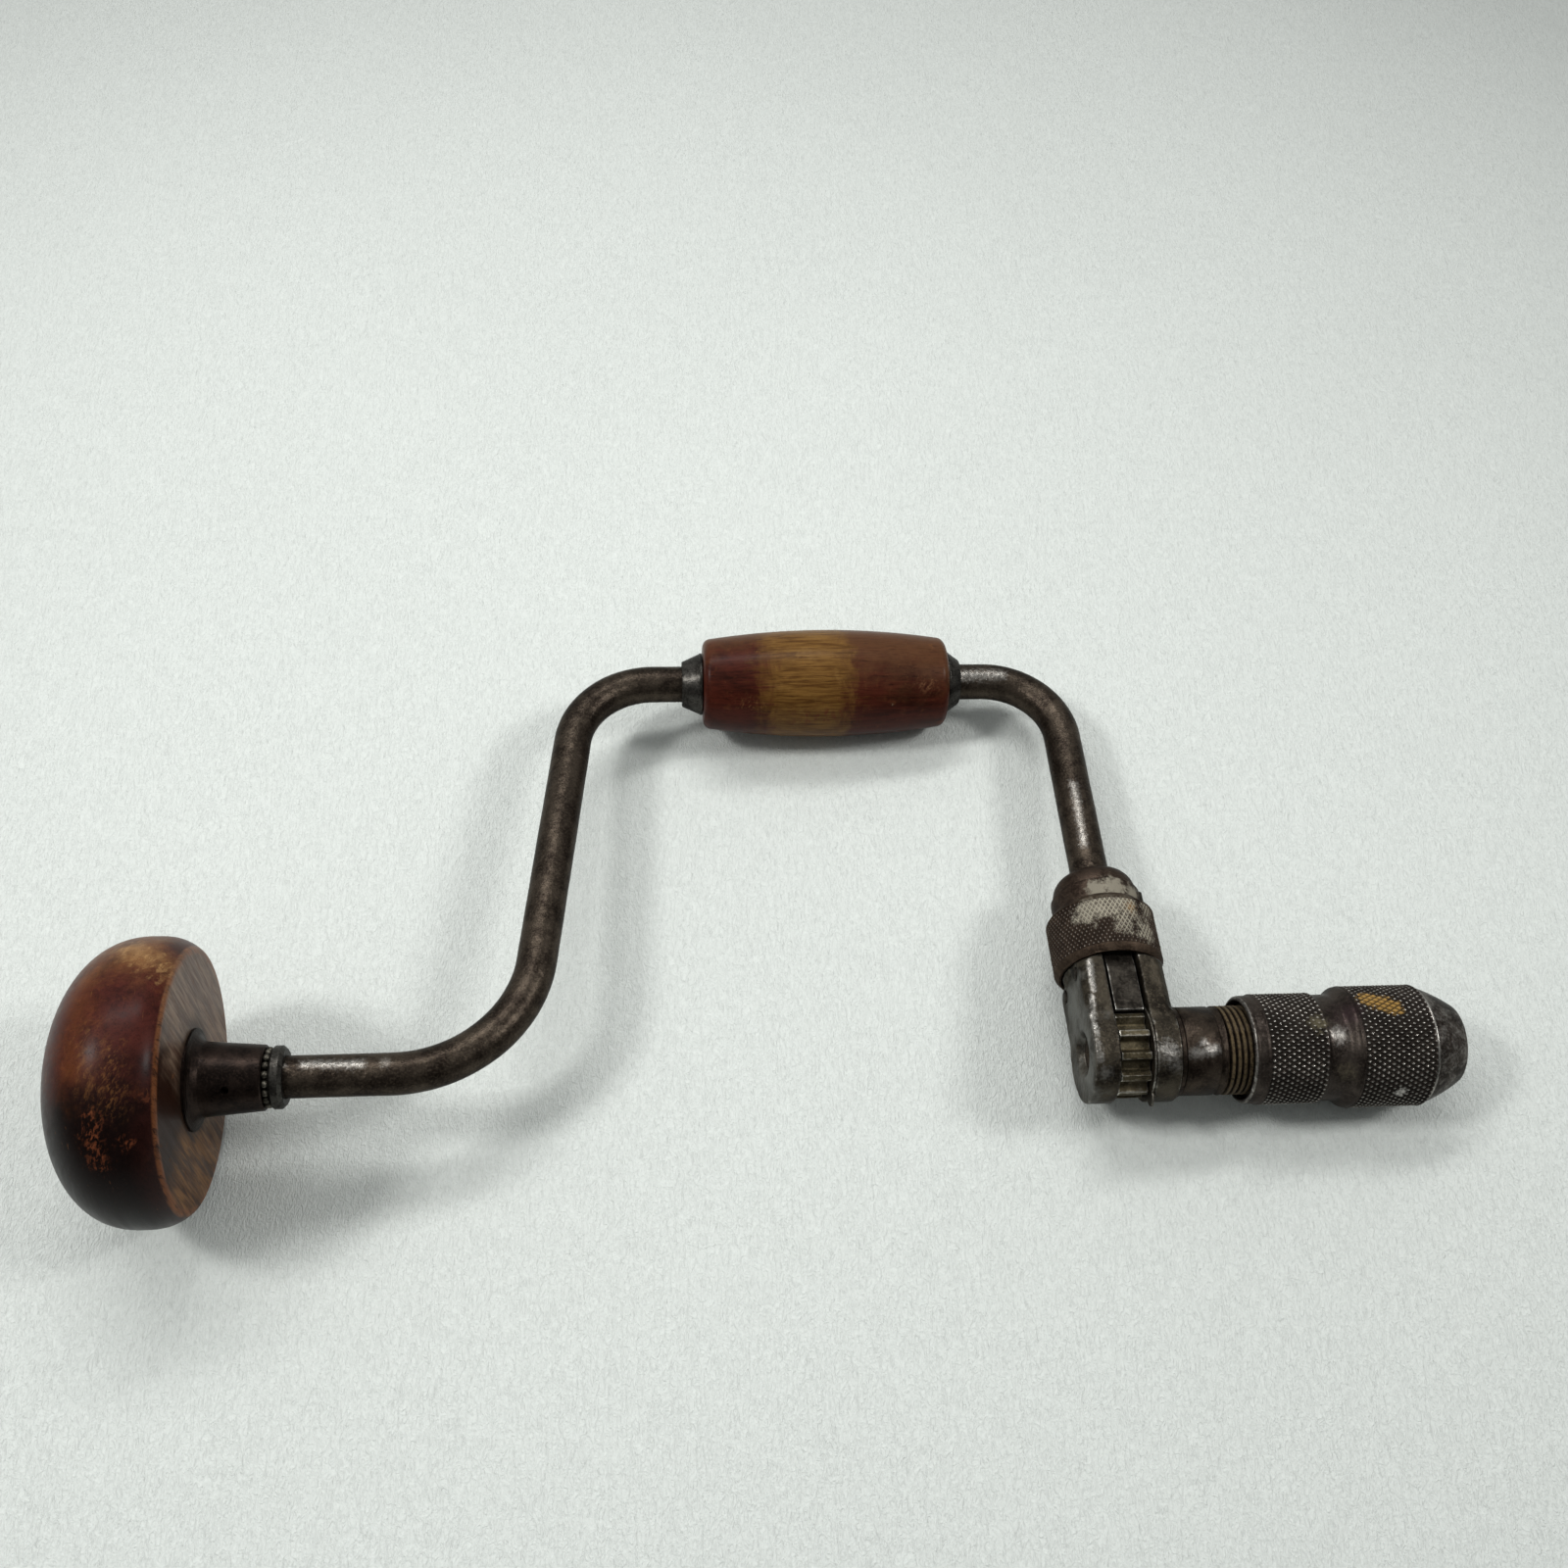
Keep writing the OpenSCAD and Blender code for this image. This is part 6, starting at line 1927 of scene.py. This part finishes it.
@dataclass
class Studio:
    """The floor, the light and the camera. Angles are in degrees.

    The camera's place is in mm. The floor's size is in metres, and so is the middle of the pool of light
    painted on it:
    the painted light falls off by its fall times the square of the distance from that middle, from its top
    level down to its least. The tones are what its clouds, and the shade painted in the hollows of its grain,
    leave of its colour. The world's light grows from sky_least to sky_most towards sky_side.
    """

    pitch: float = 58.47
    roll: float = 0.34
    yaw: float = -3.52
    place: tuple[float, float, float] = (-90.77, -164.70, 424.40)
    focal_pixels: float = 1658.0
    frame_pixels: float = 1600.0
    sensor: float = 36.0
    clip: tuple[float, float] = (0.01, 20.0)
    floor_colour: Colour = (0.715, 0.748, 0.722)
    # The pool of light painted on the floor: its middle, its fall, and its top and least levels.
    light_pool_middle: tuple[float, float, float] = (-0.08, 0.06, 0.0)
    light_pool_fall: float = 1.5
    light_pool_top: float = 1.10
    light_pool_least: float = 0.62
    floor_size: float = 6.0
    floor_cloud: Grain = Grain(0.004, 2.0, 0.5)
    floor_grain: Grain = Grain(0.55, 3.0, 0.6, 1.6)
    floor_crinkle: Grain = Grain(0.62, 2.0, 0.55, 2.2)
    crinkle_stretch: tuple[float, float, float] = (1.5, 0.6, 1.0)
    cloud_tone: float = 0.97
    grain_shade_tone: float = 0.95
    floor_roughness: float = 0.55
    sky_side: tuple[float, float, float] = (-0.1, 0.62, 0.78)
    sky_from: float = -0.35
    sky_least: float = 0.045
    sky_most: float = 0.54
    sky_colour: Colour = (0.97, 1.0, 0.985)
    lamps: tuple[Lamp, ...] = (
        Lamp("left_lamp", (-0.80, 0.0, 1.0), 1.5, (0.24, 0.24), 7.4),
        Lamp("far_lamp", (-0.15, 0.56, 1.0), 1.5, (1.05, 0.20), 7.6),
        Lamp("right_lamp", (1.0, -0.05, 1.0), 1.5, (0.28, 0.28), 6.8))

    def camera(self) -> None:
        """Sets up the camera at the photograph's angle."""
        tilt, roll = math.radians(self.pitch), math.radians(self.roll)
        forward = Vector((0, math.cos(tilt), -math.sin(tilt)))
        right = Vector((1, 0, 0))
        up = right.cross(forward)
        right, up = (math.cos(roll) * right + math.sin(roll) * up,
                     math.cos(roll) * up - math.sin(roll) * right)
        turn = Matrix.Rotation(math.radians(self.yaw), 4, "Z")
        pose = Matrix((right, up, -forward)).transposed().to_4x4()
        pose.translation = Vector(self.place) * MM
        ground = LAY_DOWN.translation.copy()
        ground.z = 0
        lens = bpy.data.cameras.new("photo_camera")
        lens.sensor_width = self.sensor
        lens.lens = self.sensor * self.focal_pixels / self.frame_pixels
        lens.clip_start, lens.clip_end = self.clip
        camera = placed("photo_camera", lens)
        camera.matrix_world = Matrix.Translation(ground) @ turn @ pose
        bpy.context.scene.camera = camera

    def floor(self) -> None:
        """Lays a large pale floor with a faint grain, a painted pool of light and painted shade in the
        grain's hollows.
        """
        size = self.floor_size
        corners = [(-size, -size, 0), (size, -size, 0), (size, size, 0), (-size, size, 0)]
        mesh = bpy.data.meshes.new("bench")
        mesh.from_pydata(corners, [], [(0, 1, 2, 3)])
        bench = placed("bench", mesh)
        s = Shader("bench_top")
        where = s.place()
        cloud = s.noise(where, self.floor_cloud)
        dull = tuple(self.cloud_tone * c for c in self.floor_colour)
        colour = s.mix(s.rise(cloud, 0.3, 0.7), self.floor_colour, dull)
        # Painted pool of light: the floor is brightest at its middle and darkens with the square of the
        # distance from it.
        here = s.node("TexCoord").outputs["Object"]
        away = s.vector("DISTANCE", here, Vector(self.light_pool_middle)).outputs["Value"]
        fall = s.minus(self.light_pool_top, s.times(s.times(away, away), self.light_pool_fall))
        colour = s.tinted(colour, s.maths("MAXIMUM", fall, self.light_pool_least))
        grain = s.noise(where, self.floor_grain)
        crinkle = s.noise(s.place(stretch=self.crinkle_stretch), self.floor_crinkle)
        height = s.blend((grain, 0.4), (crinkle, 0.7))
        # Painted shade: the hollows of the grain are darkened.
        hollow = s.tinted(colour, (self.grain_shade_tone,) * 3)
        colour = s.mix(s.rise(height, 0.66, 0.44), colour, hollow)
        dress(bench, s.close(colour, self.floor_roughness, 0.0, s.relief(height, 0.75, 0.95)))

    def light(self) -> None:
        """Hangs the lamps and sets the world's even light."""
        for lamp in self.lamps:
            lamp.hang()
        world = bpy.data.worlds.new("room")
        bpy.context.scene.world = world
        world.use_nodes = True
        tree = world.node_tree
        background = tree.nodes["Background"]
        coords = tree.nodes.new("ShaderNodeTexCoord")
        toward = tree.nodes.new("ShaderNodeVectorMath")
        toward.operation = "DOT_PRODUCT"
        toward.inputs[1].default_value = Vector(self.sky_side)
        level = tree.nodes.new("ShaderNodeMapRange")
        level.interpolation_type = "SMOOTHSTEP"
        level.inputs["From Min"].default_value = self.sky_from
        level.inputs["From Max"].default_value = 1.0
        level.inputs["To Min"].default_value = self.sky_least
        level.inputs["To Max"].default_value = self.sky_most
        tree.links.new(coords.outputs["Generated"], toward.inputs[0])
        tree.links.new(toward.outputs["Value"], level.inputs["Value"])
        tree.links.new(level.outputs[0], background.inputs[1])
        background.inputs[0].default_value = (*self.sky_colour, 1.0)

    def build(self) -> None:
        """Sets up the whole studio."""
        self.floor()
        self.light()
        self.camera()
        bpy.context.scene.view_settings.view_transform = "Standard"


def main() -> None:
    """Builds every sub-assembly in order, then the studio."""
    logging.basicConfig(level=logging.INFO, format="%(name)s %(message)s")
    for assembly in (HeadAssembly(), CrankRod(), SweepHandle(), RatchetFrame(), KnurledRing(),
                     RatchetWorks(), ThreadedSpindle(), ChuckShell(), GripWorks()):
        assembly.build()
    Studio().build()


if __name__ == "__main__":
    main()
